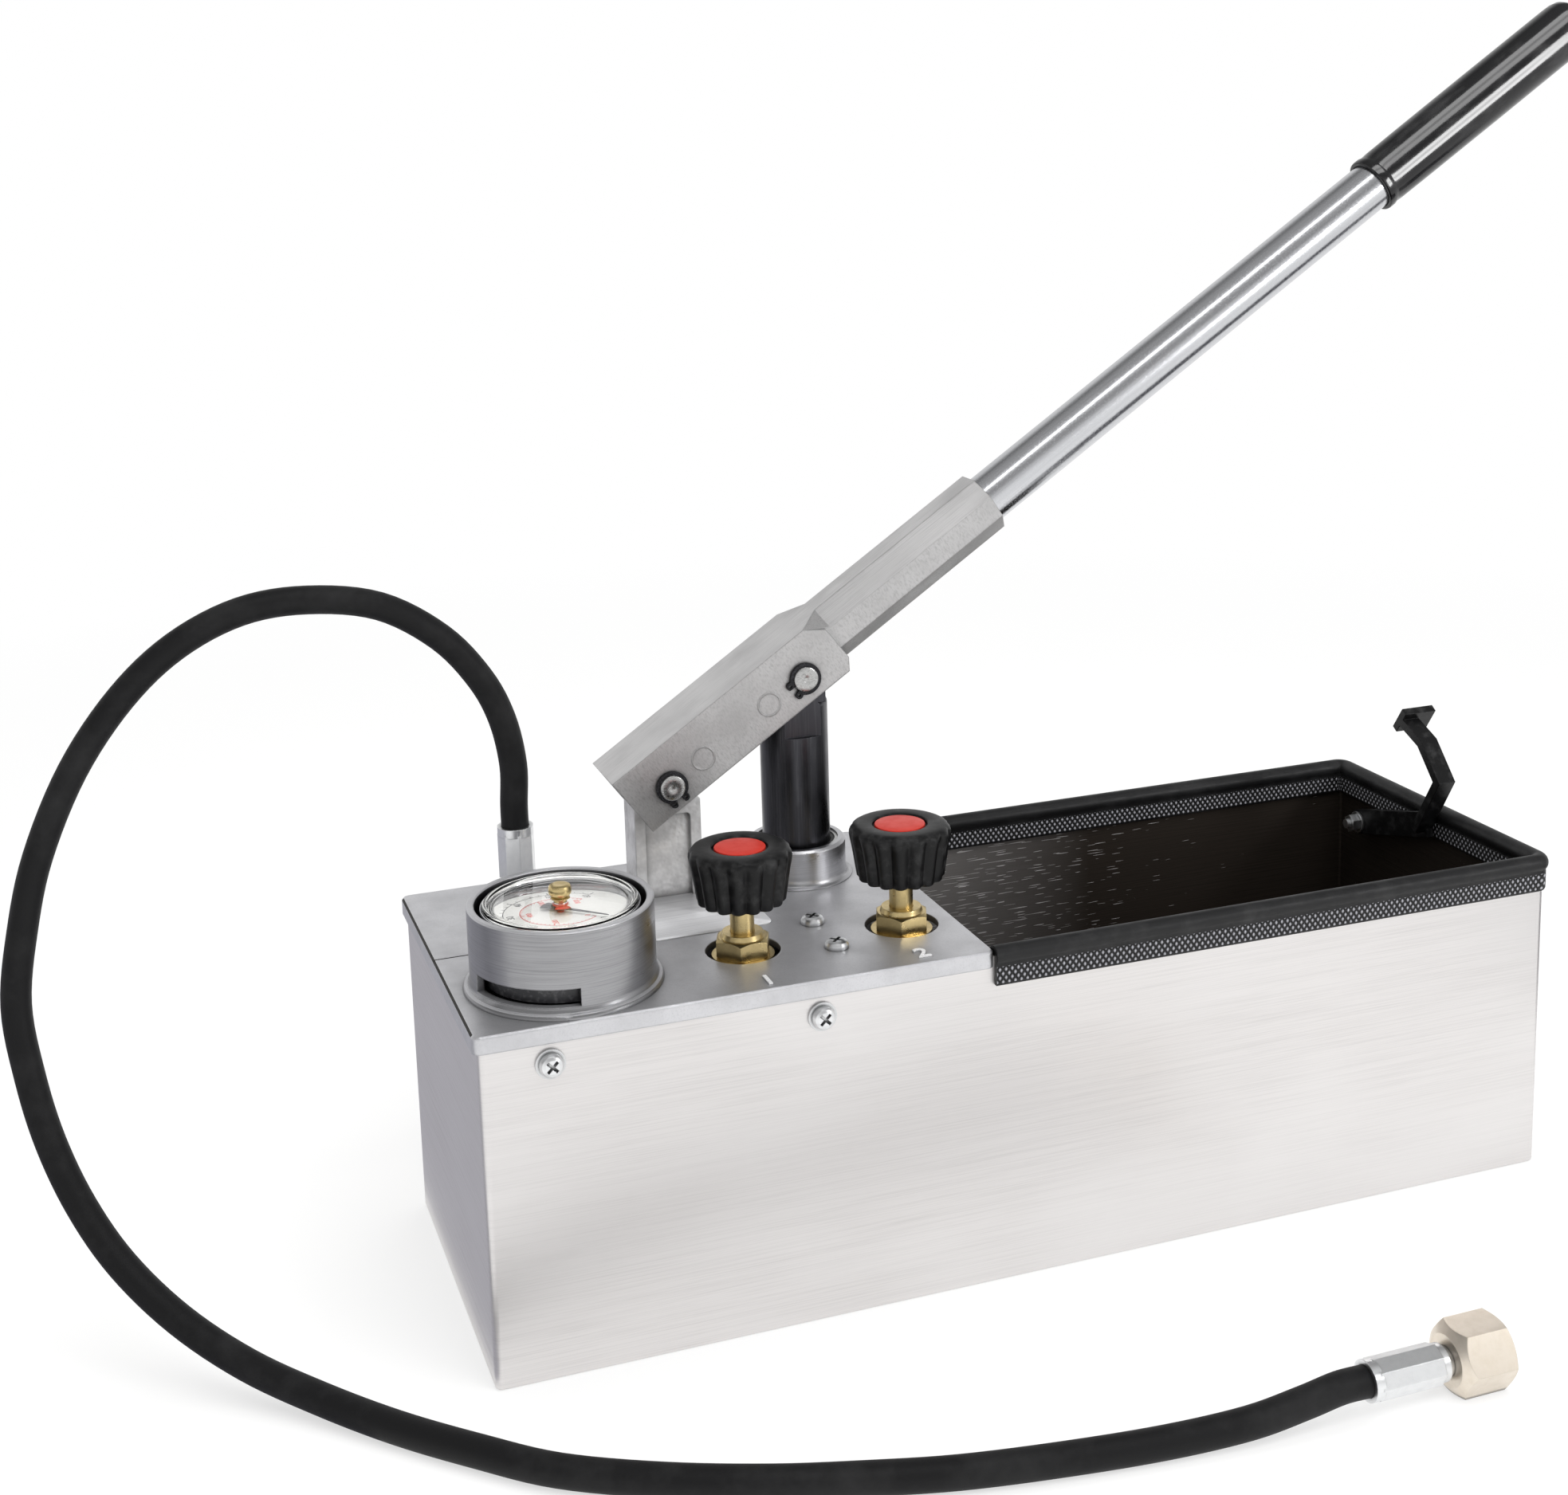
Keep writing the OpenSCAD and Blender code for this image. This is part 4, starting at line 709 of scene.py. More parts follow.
# The cover's rounded edges: within EDGE_IN of its border, above EDGE_TOP or below EDGE_SKIRT from its top.
EDGE_IN = 2.0
EDGE_TOP = 1.5
EDGE_SKIRT = 7.0
GROOVE_END = -200.0
GROOVE_Y = 1.0
GROOVE_HALF = 0.6
GROOVE_DEEP = 0.8
LEVEL = 0.02
COLLAR_REACH = 60.0
WALL_RISE = 0.6
PLATE_CORNER = 4.0
PLATE_THICK = 0.35
PLATE_FACE_CORNER = 3.0
PLATE_FACE = (0.3, 0.42)
PLATE_BORDER = 1.2
MARK_HIGH = 9.0
MARK_THICK = 1.4
MARK_BOLD = 0.22
SHEET_INSIDE = 1.4
HOSE_SIDES = 32
CLIP_TURNS = (145.0, 0.0)
TRIM_ROLL = 4.3
TRIM_TURN = 4.8
TRIM_THICK = 6.3
ROLL_START_DEG = -43
ROLL_SWEEP_DEG = 266
ROLL_STEPS = 18
KNIT_TOP = 4.2
KNIT_FOOT = 1.2
KNIT_STEPS = 16
KNIT_MEAN = 0.45
SLOT_HALF = 0.8
KNOB_SIDES = 224
# A knob's lobes fade out between these heights, and lie outside this radius.
KNOB_FADE = (19.5, 24.3)
KNOB_WALL = 16
VALLEY_SOFT = 0.015
KNOB = [
    (5.3, 6), (5.3, 0.5), (5.8, 0), (17, 0), (18.6, 0.35), (19.35, 1.2), (19.8, 4), (20.4, 8),
    (21, 12), (21.6, 15.5), (22.2, 18.5), (22.5, 20.5), (22.4, 21.8), (21.9, 23.1), (20.9, 24.1),
    (19.5, 24.75), (18, 25), (13, 25), (12.3, 24.7), (12, 24.1), (12, 23.2), (0, 23.2),
]
DISC = [
    (0, 23.4), (10.8, 23.4), (11.2, 23.6), (11.2, 24.3), (11, 24.65), (10.5, 24.8), (6, 24.92),
    (0, 24.96),
]
BEZEL = [
    (32.7, -10), (33.8, -10), (33.85, -2.2), (33.7, -1.5), (33.3, -1.1), (33, -1.1), (32.75, -1.4),
]
LENS = [
    (32.6, -6.2), (32.6, -0.5), (32.4, 0.1), (31.9, 0.4), (31.2, 0.4), (30.7, 0.1), (30.3, -0.4),
    (29.4, -0.65), (27.5, -0.7), (2.8, -0.7), (2.8, -2.1), (27.2, -2.1), (28.8, -2.3), (29.8, -3),
    (30.2, -4), (30.3, -6.2),
]
GAUGE_LIFT = 3.4
DIAL_DEPTH = 6.6
DIAL_RADIUS = 31.6
DIAL_HOLE = 1.6
PRINT_PROUD = 0.06
LINE_HALF = 0.16
TICK_HALF = (0.14, 0.26)
ARC_STEP_DEG = 2
ZERO_DEG = -45
SWEEP_DEG = 270
BUTTON = [
    (0, -1.9), (2.5, -1.9), (2.6, -1.75), (2.6, 0.5), (3.9, 0.7), (4.1, 1), (3.9, 1.35), (2.9, 1.6),
    (2.9, 2), (4.2, 2.4), (4.7, 3), (4.85, 4.2), (4.75, 5.6), (4.35, 6.5), (3.5, 6.95), (2.4, 7),
    (1.1, 6.85), (0, 6.8),
]
TUBE = [(10, 130.5), (11.7, 130.4), (12, 130.8), (12, 591.6), (11.6, 592), (10, 592)]
GRIP = [
    (12.02, 454.5), (12.4, 454), (13.5, 454), (14.05, 454.4), (14.25, 455.3), (14.25, 457.6),
    (13.9, 458.6), (13.75, 460), (13.95, 463), (14.1, 480), (14.25, 530), (14.25, 586),
    (14.1, 590.5), (13.4, 593.6), (11.9, 595.6), (9.5, 596.7), (6, 597), (0, 597),
]
CLIP_REACH = 12
PIN = [
    (0, -20.25), (5.1, -20.25), (5.7, -20), (6, -19.4), (6, -19.15), (5.3, -19.15), (5.3, -18.15),
    (6, -18.15), (6, 18.15), (5.3, 18.15), (5.3, 19.15), (6, 19.15), (6, 19.4), (5.7, 20),
    (5.1, 20.25), (1.3, 20.25), (0, 19.5),
]


# ---- Mesh building ----

# Corners of the CAD's meshes nearer than this (m) are one; faces that turn by less than this are flat.
WELD = 2e-6
FLAT_DEG = 0.6
# Points nearer an axis than this (mm) are on it.
ON_AXIS = 1e-6
# A font's size against the height of its figures.
FONT_SIZE = 1.4


def new_piece(name, shape, body, slot, *makers, replaces=()):
    """A finished piece from a bmesh, which rides on its body and stands for the CAD nodes it replaces."""
    mesh = bpy.data.meshes.new(name)
    shape.to_mesh(mesh)
    shape.free()
    piece = bpy.data.objects.new(name, mesh)
    bpy.context.scene.collection.objects.link(piece)
    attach(piece, body)
    if replaces:
        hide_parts(*replaces)
    return coat(piece, *makers)


def even(piece):
    """Keeps wide flat faces flat in shading where they meet rounded edges."""
    piece.modifiers.new("flat faces", "WEIGHTED_NORMAL").keep_sharp = True
    return piece


def smooth(shape, sharp_deg=35):
    """Smooth faces, with edges sharp where they turn by more than sharp_deg."""
    limit = math.radians(sharp_deg)
    for face in shape.faces:
        face.smooth = True
    for edge in shape.edges:
        edge.smooth = len(edge.link_faces) == 2 and edge.calc_face_angle(0.0) < limit
    return shape


def ring_of(shape, points):
    return [shape.verts.new(p) for p in points]


def skin(shape, rings, around=True, ends=True):
    """Faces between rings of equal length, and one over each end."""
    count = len(rings[0])
    for low, high in zip(rings, rings[1:]):
        for k in range(count if around else count - 1):
            corners = [low[k], low[(k + 1) % count], high[(k + 1) % count], high[k]]
            corners = [v for i, v in enumerate(corners) if v not in corners[:i]]
            if len(corners) > 2:
                shape.faces.new(corners)
    if ends:
        shape.faces.new(rings[0])
        shape.faces.new(rings[-1])
    bmesh.ops.recalc_face_normals(shape, faces=shape.faces)
    return shape


def turned(profile, place, sides, closed=False, swell=None):
    """A turned form of (radius, height) pairs in millimetres, about the Z axis of place.

    swell, if given, changes a radius by its step and turn.
    """
    shape = bmesh.new()
    rings = []
    for step, (radius, height) in enumerate(profile):
        if radius < ON_AXIS:
            rings.append([shape.verts.new(place @ Vector((0, 0, height * MM)))] * sides)
            continue
        ring = []
        for k in range(sides):
            turn = math.tau * k / sides
            r = (radius if swell is None else swell(step, radius, turn)) * MM
            ring.append(place @ Vector((r * math.cos(turn), r * math.sin(turn), height * MM)))
        rings.append(ring_of(shape, ring))
    if closed:
        rings.append(rings[0])
    return skin(shape, rings, ends=False)


def turned_piece(name, form, body, slot, maker, node):
    """A turned piece that stands for a CAD node; form is what turned() takes."""
    return new_piece(name, smooth(turned(*form)), body, slot, maker, replaces=(node,))


def frames(path, level):
    """Each point of a path with its side, its up direction and its distance along.

    level keeps the sides level.
    """
    found, run, side = [], 0.0, None
    for i, point in enumerate(path):
        way = (path[min(i + 1, len(path) - 1)] - path[max(i - 1, 0)]).normalized()
        if level:
            side = way.cross(Vector((0, 0, 1))).normalized()
        elif side is None:
            side = way.orthogonal().normalized()
        else:
            side = (side - way * side.dot(way)).normalized()
        if i:
            run += (point - path[i - 1]).length
        found.append((point, side, side.cross(way), run))
    return found


def rounded(node, edge, sharp_deg=28, steps=3, keep=None):
    """A copy of a CAD node's mesh with its edges rounded: all, or those that keep(middle in mm) picks."""
    shape = bmesh.new()
    shape.from_mesh(NODES[node].data)
    bmesh.ops.remove_doubles(shape, verts=shape.verts, dist=WELD)
    flat = math.radians(FLAT_DEG)
    bmesh.ops.dissolve_limit(shape, angle_limit=flat, verts=shape.verts, edges=shape.edges)
    limit = math.radians(sharp_deg)
    edges = [e for e in shape.edges if len(e.link_faces) == 2 and e.calc_face_angle(0.0) > limit]
    if keep:
        edges = [e for e in edges if keep((e.verts[0].co + e.verts[1].co) / 2 / MM)]
    bmesh.ops.bevel(
        shape, geom=edges, offset=edge, segments=steps, profile=0.5, affect="EDGES", clamp_overlap=True
    )
    return smooth(shape)


def dressed(name, node, body, edge, *makers, keep=None, **settings):
    """A CAD node with rounded edges, in the node's place."""
    subparts = frame["record"]["subparts"]
    slot = next(part["material_slot"] for part in subparts if part["node"] == node)
    shape = rounded(node, edge, keep=keep, **settings)
    return even(new_piece(name, shape, body, slot, *(makers or (COATS[slot],)), replaces=(node,)))


def faces_pick(piece, choose):
    """Gives each face of a piece the finish whose number choose(middle in mm, normal) returns."""
    for face in piece.data.polygons:
        face.material_index = choose(face.center / MM, face.normal)
    return piece


def plate_form(shape, outline, place, low, high):
    """Adds a flat form with an outline of (x, y) points, from one height to another, all in millimetres."""
    under, over = (
        ring_of(shape, [place @ (Vector((x, y, z)) * MM) for x, y in outline]) for z in (low, high)
    )
    count = len(outline)
    for k in range(count):
        n = (k + 1) % count
        shape.faces.new((under[k], under[n], over[n], over[k]))
    shape.faces.new(over)
    shape.faces.new(under[::-1])


def join(shape, other):
    """Adds another form to a form."""
    mesh = bpy.data.meshes.new("part")
    other.to_mesh(mesh)
    other.free()
    shape.from_mesh(mesh)
    bpy.data.meshes.remove(mesh)


def round_corners(long, wide, radius, steps=6):
    """The outline of a rectangle about its middle, its corners rounded."""
    outline = []
    for i, (sx, sy) in enumerate(((1, 1), (-1, 1), (-1, -1), (1, -1))):
        for k in range(steps + 1):
            turn = math.pi / 2 * (i + k / steps)
            x = sx * (long / 2 - radius) + radius * math.cos(turn)
            y = sy * (wide / 2 - radius) + radius * math.sin(turn)
            outline.append((x, y))
    return outline


def figures(shape, words, place, high, thick, index=0, bold=0.0):
    """Adds figures that stand on a form, high millimetres tall, with their middle at place."""
    line = bpy.data.curves.new("figures", "FONT")
    line.body = words
    line.align_x, line.align_y = "CENTER", "CENTER"
    line.size = high * FONT_SIZE * MM
    line.extrude = thick / 2 * MM
    line.offset = bold * MM
    line.resolution_u = 4
    carrier = bpy.data.objects.new("figures", line)
    mesh = bpy.data.meshes.new_from_object(carrier)
    mesh.transform(place)
    first = len(shape.faces)
    shape.from_mesh(mesh)
    shape.faces.ensure_lookup_table()
    for face in shape.faces[first:]:
        face.material_index = index
    bpy.data.objects.remove(carrier)
    bpy.data.meshes.remove(mesh)
    bpy.data.curves.remove(line)


# ---- Image points ----


def ray(point):
    """The camera's place and the direction from it through an image point."""
    camera = bpy.context.scene.camera
    lens = camera.data
    long = max(FRAME_PX)
    aim = Vector(
        (
            point[0] - FRAME_PX[0] / 2 + lens.shift_x * long,
            FRAME_PX[1] / 2 - point[1] + lens.shift_y * long,
            -long * lens.lens / lens.sensor_width,
        )
    )
    return camera.matrix_world.translation, (camera.matrix_world.to_3x3() @ aim).normalized()


def pixel(place):
    """The image point where a place shows."""
    camera = bpy.context.scene.camera
    lens = camera.data
    long = max(FRAME_PX)
    seen = camera.matrix_world.inverted() @ place
    reach = long * lens.lens / lens.sensor_width / -seen.z
    return (
        FRAME_PX[0] / 2 - lens.shift_x * long + reach * seen.x,
        FRAME_PX[1] / 2 + lens.shift_y * long - reach * seen.y,
    )


def surface(pieces):
    """A search tree of pieces, as finished and placed."""
    graph = bpy.context.evaluated_depsgraph_get()
    graph.update()
    whole = bmesh.new()
    for piece in pieces:
        finished = piece.evaluated_get(graph)
        mesh = finished.to_mesh()
        mesh.transform(piece.matrix_world)
        whole.from_mesh(mesh)
        finished.to_mesh_clear()
    tree = BVHTree.FromBMesh(whole)
    whole.free()
    return tree


# How far along a ray that misses a surface (m) the nearest place on the surface is looked for.
MISS_TRIES = [0.5 + 0.002 * k for k in range(500)]


def meet(tree, point):
    """Where the ray through an image point meets a surface, or the place on it nearest to that ray."""
    start, way = ray(point)
    place = tree.ray_cast(start, way)[0]
    if place is None:
        tries = [tree.find_nearest(start + way * reach) for reach in MISS_TRIES]
        place = min(tries, key=lambda found: found[3])[0]
    return place


# What each image point marks: a piece, the heights in millimetres to look between, and the way in the image
# to its furthest vertex, or None for the middle of what shows.
MARKED = {
    "tank_bottom_corner": ("tank_shell", (-1, 8), (0, 1)),
    "tank_left_corner": ("tank_shell", (-1, 8), (-1, 0)),
    "tank_right_corner": ("tank_shell", (-1, 8), (1, 0)),
    "cover_front_corner": ("cover_casting", (153.5, 155.5), (0, 1)),
    "cover_back_corner": ("cover_casting", (153.5, 155.5), (-1, 0)),
    "gauge_reset_knob": ("gauge_reset_button", None, None),
    "valve_1_cap": ("valve_1_disc", None, None),
    "valve_2_cap": ("valve_2_disc", None, None),
    "link_pin": ("pin_at_link", None, None),
    "piston_pin": ("pin_at_piston", None, None),
    "side_screw_left": ("side_screws", None, None),
    "side_screw_right": ("side_screws", None, None),
    "cover_screw_back": ("cover_screws", None, None),
    "cover_screw_front": ("cover_screws", None, None),
    "hook_screw": ("hook_nut", None, None),
    "swivel_nut": ("outlet_nut", None, None),
    "label_plate": ("bare_plate", None, (1, 0.4)),
    "mark_1": ("valve_marks", None, None),
    "mark_2": ("valve_marks", None, None),
}


def write_points():
    """Finds the image points where each marked thing shows, near its image point."""
    graph = bpy.context.evaluated_depsgraph_get()
    graph.update()
    shown = [o for o in bpy.context.scene.objects if o.type in ("MESH", "CURVE") and not o.hide_render]
    tree = surface([o for o in shown if o.name not in STAGE])
    eye = bpy.context.scene.camera.matrix_world.translation
    for name, (x, y) in POINTS.items():
        piece_name, heights, way = MARKED[name]
        piece = bpy.data.objects.get(piece_name)
        if piece is None:
            continue
        finished = piece.evaluated_get(graph)
        places = [piece.matrix_world @ v.co for v in finished.to_mesh().vertices]
        finished.to_mesh_clear()
        if heights:
            places = [p for p in places if heights[0] < p.z / MM < heights[1]]
        else:
            places = [p for p in places if math.dist(pixel(p), (x, y)) < NEAR_PX]
        seen = []
        for place in places:
            hit = tree.ray_cast(eye, (place - eye).normalized())
            if hit[0] is None or hit[3] > (place - eye).length - SEEN_MM * MM:
                seen.append(pixel(place))
        if not seen:
            continue


# ---- Operators: the studio, then each piece or group of like pieces ----

HIGH_PLACE = (0.12, -0.87, 2.09)
FRONT_PLACE = (0.75, -0.86, 0.58)
GRIP_AIM = (0.33, 0.04, 0.54)
# Each light: its place, what it faces, its size (m), its power (W), and whether polished metal mirrors it.
LIGHTS = (
    ("softbox_high", (0.1, -1.1, 1.75), (0.05, 0, 0.3), (1.5, 0.8), 17, False),
    ("strip_high", HIGH_PLACE, GRIP_AIM, (1.6, 0.25), 5.0, True),
    ("softbox_front", (0.9, -1.7, 0.5), (0.1, 0, 0.25), (0.8, 0.5), 12, False),
    ("strip_front", FRONT_PLACE, GRIP_AIM, (0.34, 0.14), 2.2, True),
    ("sky_panel", (-0.1, 0.4, 1.9), (0, 0, 0.1), (1.4, 1.4), 14, False),
    ("grip_card_high", HIGH_PLACE, GRIP_AIM, (1.6, 1.2), 42, True),
    ("grip_card_front", FRONT_PLACE, GRIP_AIM, (0.5, 0.5), 18, True),
)
# The two wide cards are flagged off from all but the glossy grip.
GRIP_CARDS = ("grip_card_high", "grip_card_front")
# Grey sheets on the floor that only polished metal sees, as in a real studio: place, size (m) and colour.
FLOOR_SHEETS = (
    ("floor_sheet_left", (-0.961, 0.65, 0.0005), 1.4, 1.5, "#B2B2BA"),
    ("floor_sheet_right", (0.85, -0.2, 0.0005), 0.8, 0.3, "#505056"),
)
FLOOR_WIDE = 24
# Share of the white background in the floor, near the object and far from it, at these distances (m).
FLOOR_GLOW = (0.62, 1.0)
FLOOR_FADE = (0.45, 1.5)


class PUMP_OT_stage(bpy.types.Operator):
    """Adds the camera, the floor and the soft lights"""

    bl_idname = "pump.stage"
    bl_label = "Studio"

    def execute(self, context):
        studio = context.scene.pump_studio
        context.scene.view_settings.view_transform = "Standard"
        lens = bpy.data.cameras.new("camera")
        lens.sensor_fit = "AUTO"
        lens.lens = studio.lens
        lens.shift_y = studio.shift_y
        lens.clip_start, lens.clip_end = 0.05, 50
        camera = bpy.data.objects.new("camera", lens)
        context.scene.collection.objects.link(camera)
        az, el, roll = studio.azimuth, studio.elevation, studio.roll
        back = Vector((math.sin(az) * math.cos(el), -math.cos(az) * math.cos(el), math.sin(el)))
        level = Vector((0, 0, 1)).cross(back).normalized()
        right = Matrix.Rotation(roll, 3, back) @ level
        axes = Matrix((right, back.cross(right), back)).transposed()
        camera.matrix_world = Matrix.Translation(Vector(studio.place)) @ axes.to_4x4()
        context.scene.camera = camera
        self.floor(context)
        self.sky(context, studio)
        grip_only = bpy.data.collections.new(GRIP_LIT)
        for name, place, aim, size, watts, mirrored in LIGHTS:
            light = bpy.data.lights.new(name, "AREA")
            light.shape = "RECTANGLE"
            light.size, light.size_y = size
            light.energy = watts
            lamp = bpy.data.objects.new(name, light)
            context.scene.collection.objects.link(lamp)
            # Each light's long side lies along the lever, so highlights run along the tube and the grip.
            away = (Vector(place) - Vector(aim)).normalized()
            along = LEVER.to_3x3() @ Vector((1, 0, 0))
            along = (along - away * along.dot(away)).normalized()
            axes = Matrix((along, away.cross(along), away)).transposed()
            lamp.matrix_world = Matrix.Translation(Vector(place)) @ axes.to_4x4()
            lamp.visible_glossy = mirrored
            if name in GRIP_CARDS:
                lamp.light_linking.receiver_collection = grip_only
        for row in FLOOR_SHEETS:
            self.card(context, *row)
        return {"FINISHED"}

    def sheet(self, context, name, wide, high, material):
        shape = bmesh.new()
        bmesh.ops.create_grid(shape, x_segments=1, y_segments=1, size=0.5)
        bmesh.ops.scale(shape, vec=(wide, high, 1), verts=shape.verts)
        mesh = bpy.data.meshes.new(name)
        shape.to_mesh(mesh)
        shape.free()
        mesh.materials.append(material)
        made = bpy.data.objects.new(name, mesh)
        context.scene.collection.objects.link(made)
        STAGE.append(name)
        return made

    def card(self, context, name, place, wide, high, code):
        material, tree = finish("painted_card", srgb(code), 1.0)[:2]
        glow = add(tree, "Emission", {"Color": (*srgb(code), 1), "Strength": 1.0})
        tree.links.new(glow.outputs[0], tree.nodes["Material Output"].inputs[0])
        card = self.sheet(context, name, wide, high, material)
        card.location = place
        card.visible_camera = card.visible_diffuse = False
        card.visible_shadow = card.visible_transmission = False

    def floor(self, context):
        material, tree, shader = finish("painted_studio_floor", srgb("#F4F4F3"), 0.8, **sheen(0.1))
        # Near the object the floor keeps its shadow; further off it fades into the white background.
        far = add(tree, "VectorMath", {0: local(tree)}, operation="LENGTH").outputs["Value"]
        share = spread(tree, far, *FLOOR_GLOW, *FLOOR_FADE)
        share = add(tree, "Math", {0: self.seen_directly(tree), 1: share}, operation="MULTIPLY")
        glow = add(tree, "Emission", {"Color": (1, 1, 1, 1), "Strength": 1.0})
        both = add(tree, "MixShader", {0: share, 1: shader.outputs[0], 2: glow})
        tree.links.new(both.outputs[0], tree.nodes["Material Output"].inputs[0])
        self.sheet(context, "floor", FLOOR_WIDE, FLOOR_WIDE, material)

    def seen_directly(self, tree):
        """1 for camera, glossy and transmission rays, which see the white background."""
        path = add(tree, "LightPath")
        camera, glossy, through = (
            path.outputs[f"Is {kind} Ray"] for kind in ("Camera", "Glossy", "Transmission")
        )
        first = add(tree, "Math", {0: camera, 1: glossy}, operation="MAXIMUM")
        return add(tree, "Math", {0: first, 1: through}, operation="MAXIMUM")

    def sky(self, context, studio):
        """White to the camera. Metal sees soft bands that run from the front, over the top, to the back."""
        world = bpy.data.worlds.new("studio_sky")
        context.scene.world = world
        world.use_nodes = True
        tree = world.node_tree
        tree.nodes.clear()
        path = add(tree, "LightPath")
        way = add(tree, "SeparateXYZ", {0: add(tree, "TexCoord").outputs["Generated"]})
        front = add(tree, "Math", {0: way.outputs[1], 1: -1.0}, operation="MULTIPLY")
        turn = add(tree, "Math", {0: way.outputs[2], 1: front}, operation="ARCTAN2")
        share = add(tree, "Math", {0: turn, 1: math.pi}, operation="DIVIDE")
        bands = add(tree, "ValToRGB", {0: share})
        stops = bands.color_ramp.elements
        for place, level in BANDS:
            stop = stops[0] if place == 0.0 else stops[-1] if place == 1.0 else stops.new(place)
            stop.color = (level, level, level, 1)
        plain = spread(tree, self.seen_directly(tree), studio.sky, 1.0, 0.0, 1.0)
        mirrored = path.outputs["Is Glossy Ray"]
        strength = add(tree, "Mix", {0: mirrored, 2: plain, 3: bands}, data_type="FLOAT")
        light = add(tree, "Background", {"Color": (1, 1, 1, 1), "Strength": strength})
        out = tree.nodes.new("ShaderNodeOutputWorld")
        tree.links.new(light.outputs[0], out.inputs[0])


# Brightness of the studio as metal sees it, by the share of the half turn from front to back, over the top.
BANDS = [
    (0.0, 1.0), (0.09, 0.75), (0.17, 0.33), (0.24, 0.45), (0.31, 0.52), (0.42, 0.45), (0.57, 0.36),
    (0.68, 0.2), (0.74, 0.45), (0.8, 0.78), (0.9, 0.82), (1.0, 0.82),
]
HOSE_ROUTE = [
    (-206.6, 58, 190.5), (-206.6, 58, 201), (-206, 58, 220), (-210, 58, 242), (-219, 58, 262),
    (-236, 58, 283), (-262, 58, 300), (-293, 58, 306), (-322, 57, 304), (-350, 56, 292),
    (-374, 55, 272), (-396, 54, 243), (-413, 52, 208), (-422, 48, 177), (-427, 42, 147),
    (-424, 33, 118), (-418, 22, 92), (-408, 8, 68), (-394, -8, 47), (-374, -28, 29),
    (-350, -50, 16), (-324, -74, 9), (-298, -101, 6.55), (-271, -128, 6.55), (-245, -151, 6.55),
    (-210, -171, 6.55), (-173, -187, 6.55), (-140, -198, 6.55), (-105, -208, 6.55),
    (-64, -215.5, 6.55), (-24, -220.5, 6.55), (10, -223.5, 8), (34, -224, 11), (50, -224, 13.5),
    (62, -224, 13.5), (74, -224, 13.5),
]
HOSE_WIDE = 12.7 * MM
HOSE_SHARES = 6


def smooth_route(route, share):
    """Points of a smooth curve through a route: each stretch is cut in equal shares."""
    points = [Vector(p) * MM for p in route]
    curve = []
    for i in range(len(points) - 1):
        a, b, c, d = (points[min(max(i + k, 0), len(points) - 1)] for k in (-1, 0, 1, 2))
        for j in range(share):
            t = j / share
            bend, twist = 2 * a - 5 * b + 4 * c - d, 3 * b - a - 3 * c + d
            curve.append(0.5 * (2 * b + (c - a) * t + bend * t * t + twist * t**3))
    return curve + [points[-1]]


class PUMP_OT_hose(bpy.types.Operator):
    """Adds the pressure hose with its ferrules and its outlet nut"""

    bl_idname = "pump.hose"
    bl_label = "Hose"

    def execute(self, context):
        dressed("cover_ferrule", "hose_ferrule", "frame", 0.5 * MM)
        dressed("outlet_ferrule", "end_ferrule", "frame", 0.5 * MM)
        dressed("outlet_nut", "swivel_nut", "swivel_nut", 0.35 * MM, sharp_deg=24)
        path = smooth_route(HOSE_ROUTE, HOSE_SHARES)
        turns = [math.tau * k / HOSE_SIDES for k in range(HOSE_SIDES)]
        shape = bmesh.new()
        rings = []
        for point, side, up, _ in frames(path, False):
            ring = [point + (side * math.cos(a) + up * math.sin(a)) * HOSE_WIDE / 2 for a in turns]
            rings.append(ring_of(shape, ring))
        smooth(skin(shape, rings))
        hose = new_piece(
            "pressure_hose", shape, "frame", "hose_rubber", cloth_wrapped_hose_rubber, replaces=("hose",)
        )
        return {"FINISHED"}


class PUMP_OT_tank(bpy.types.Operator):
    """Adds the folded tank, brushed outside, its inside darkened by painted shade"""

    bl_idname = "pump.tank"
    bl_label = "Tank"

    def execute(self, context):
        tank = dressed(
            "tank_shell",
            "tank",
            "frame",
            context.scene.pump_sizes.fold,
            brushed_stainless_sheet,
            dulled_stainless_inside,
            keep=lambda middle: middle.z < 0.2,
        )
        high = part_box("tank")[1] / MM

        # Faces inside the tank take the inside finish, dark with painted shade.
        def inner(middle, _):
            x, y = abs(middle.x), abs(middle.y)
            return int(middle.z > 1 and x < high.x - SHEET_INSIDE and y < high.y - SHEET_INSIDE)

        faces_pick(tank, inner)
        return {"FINISHED"}


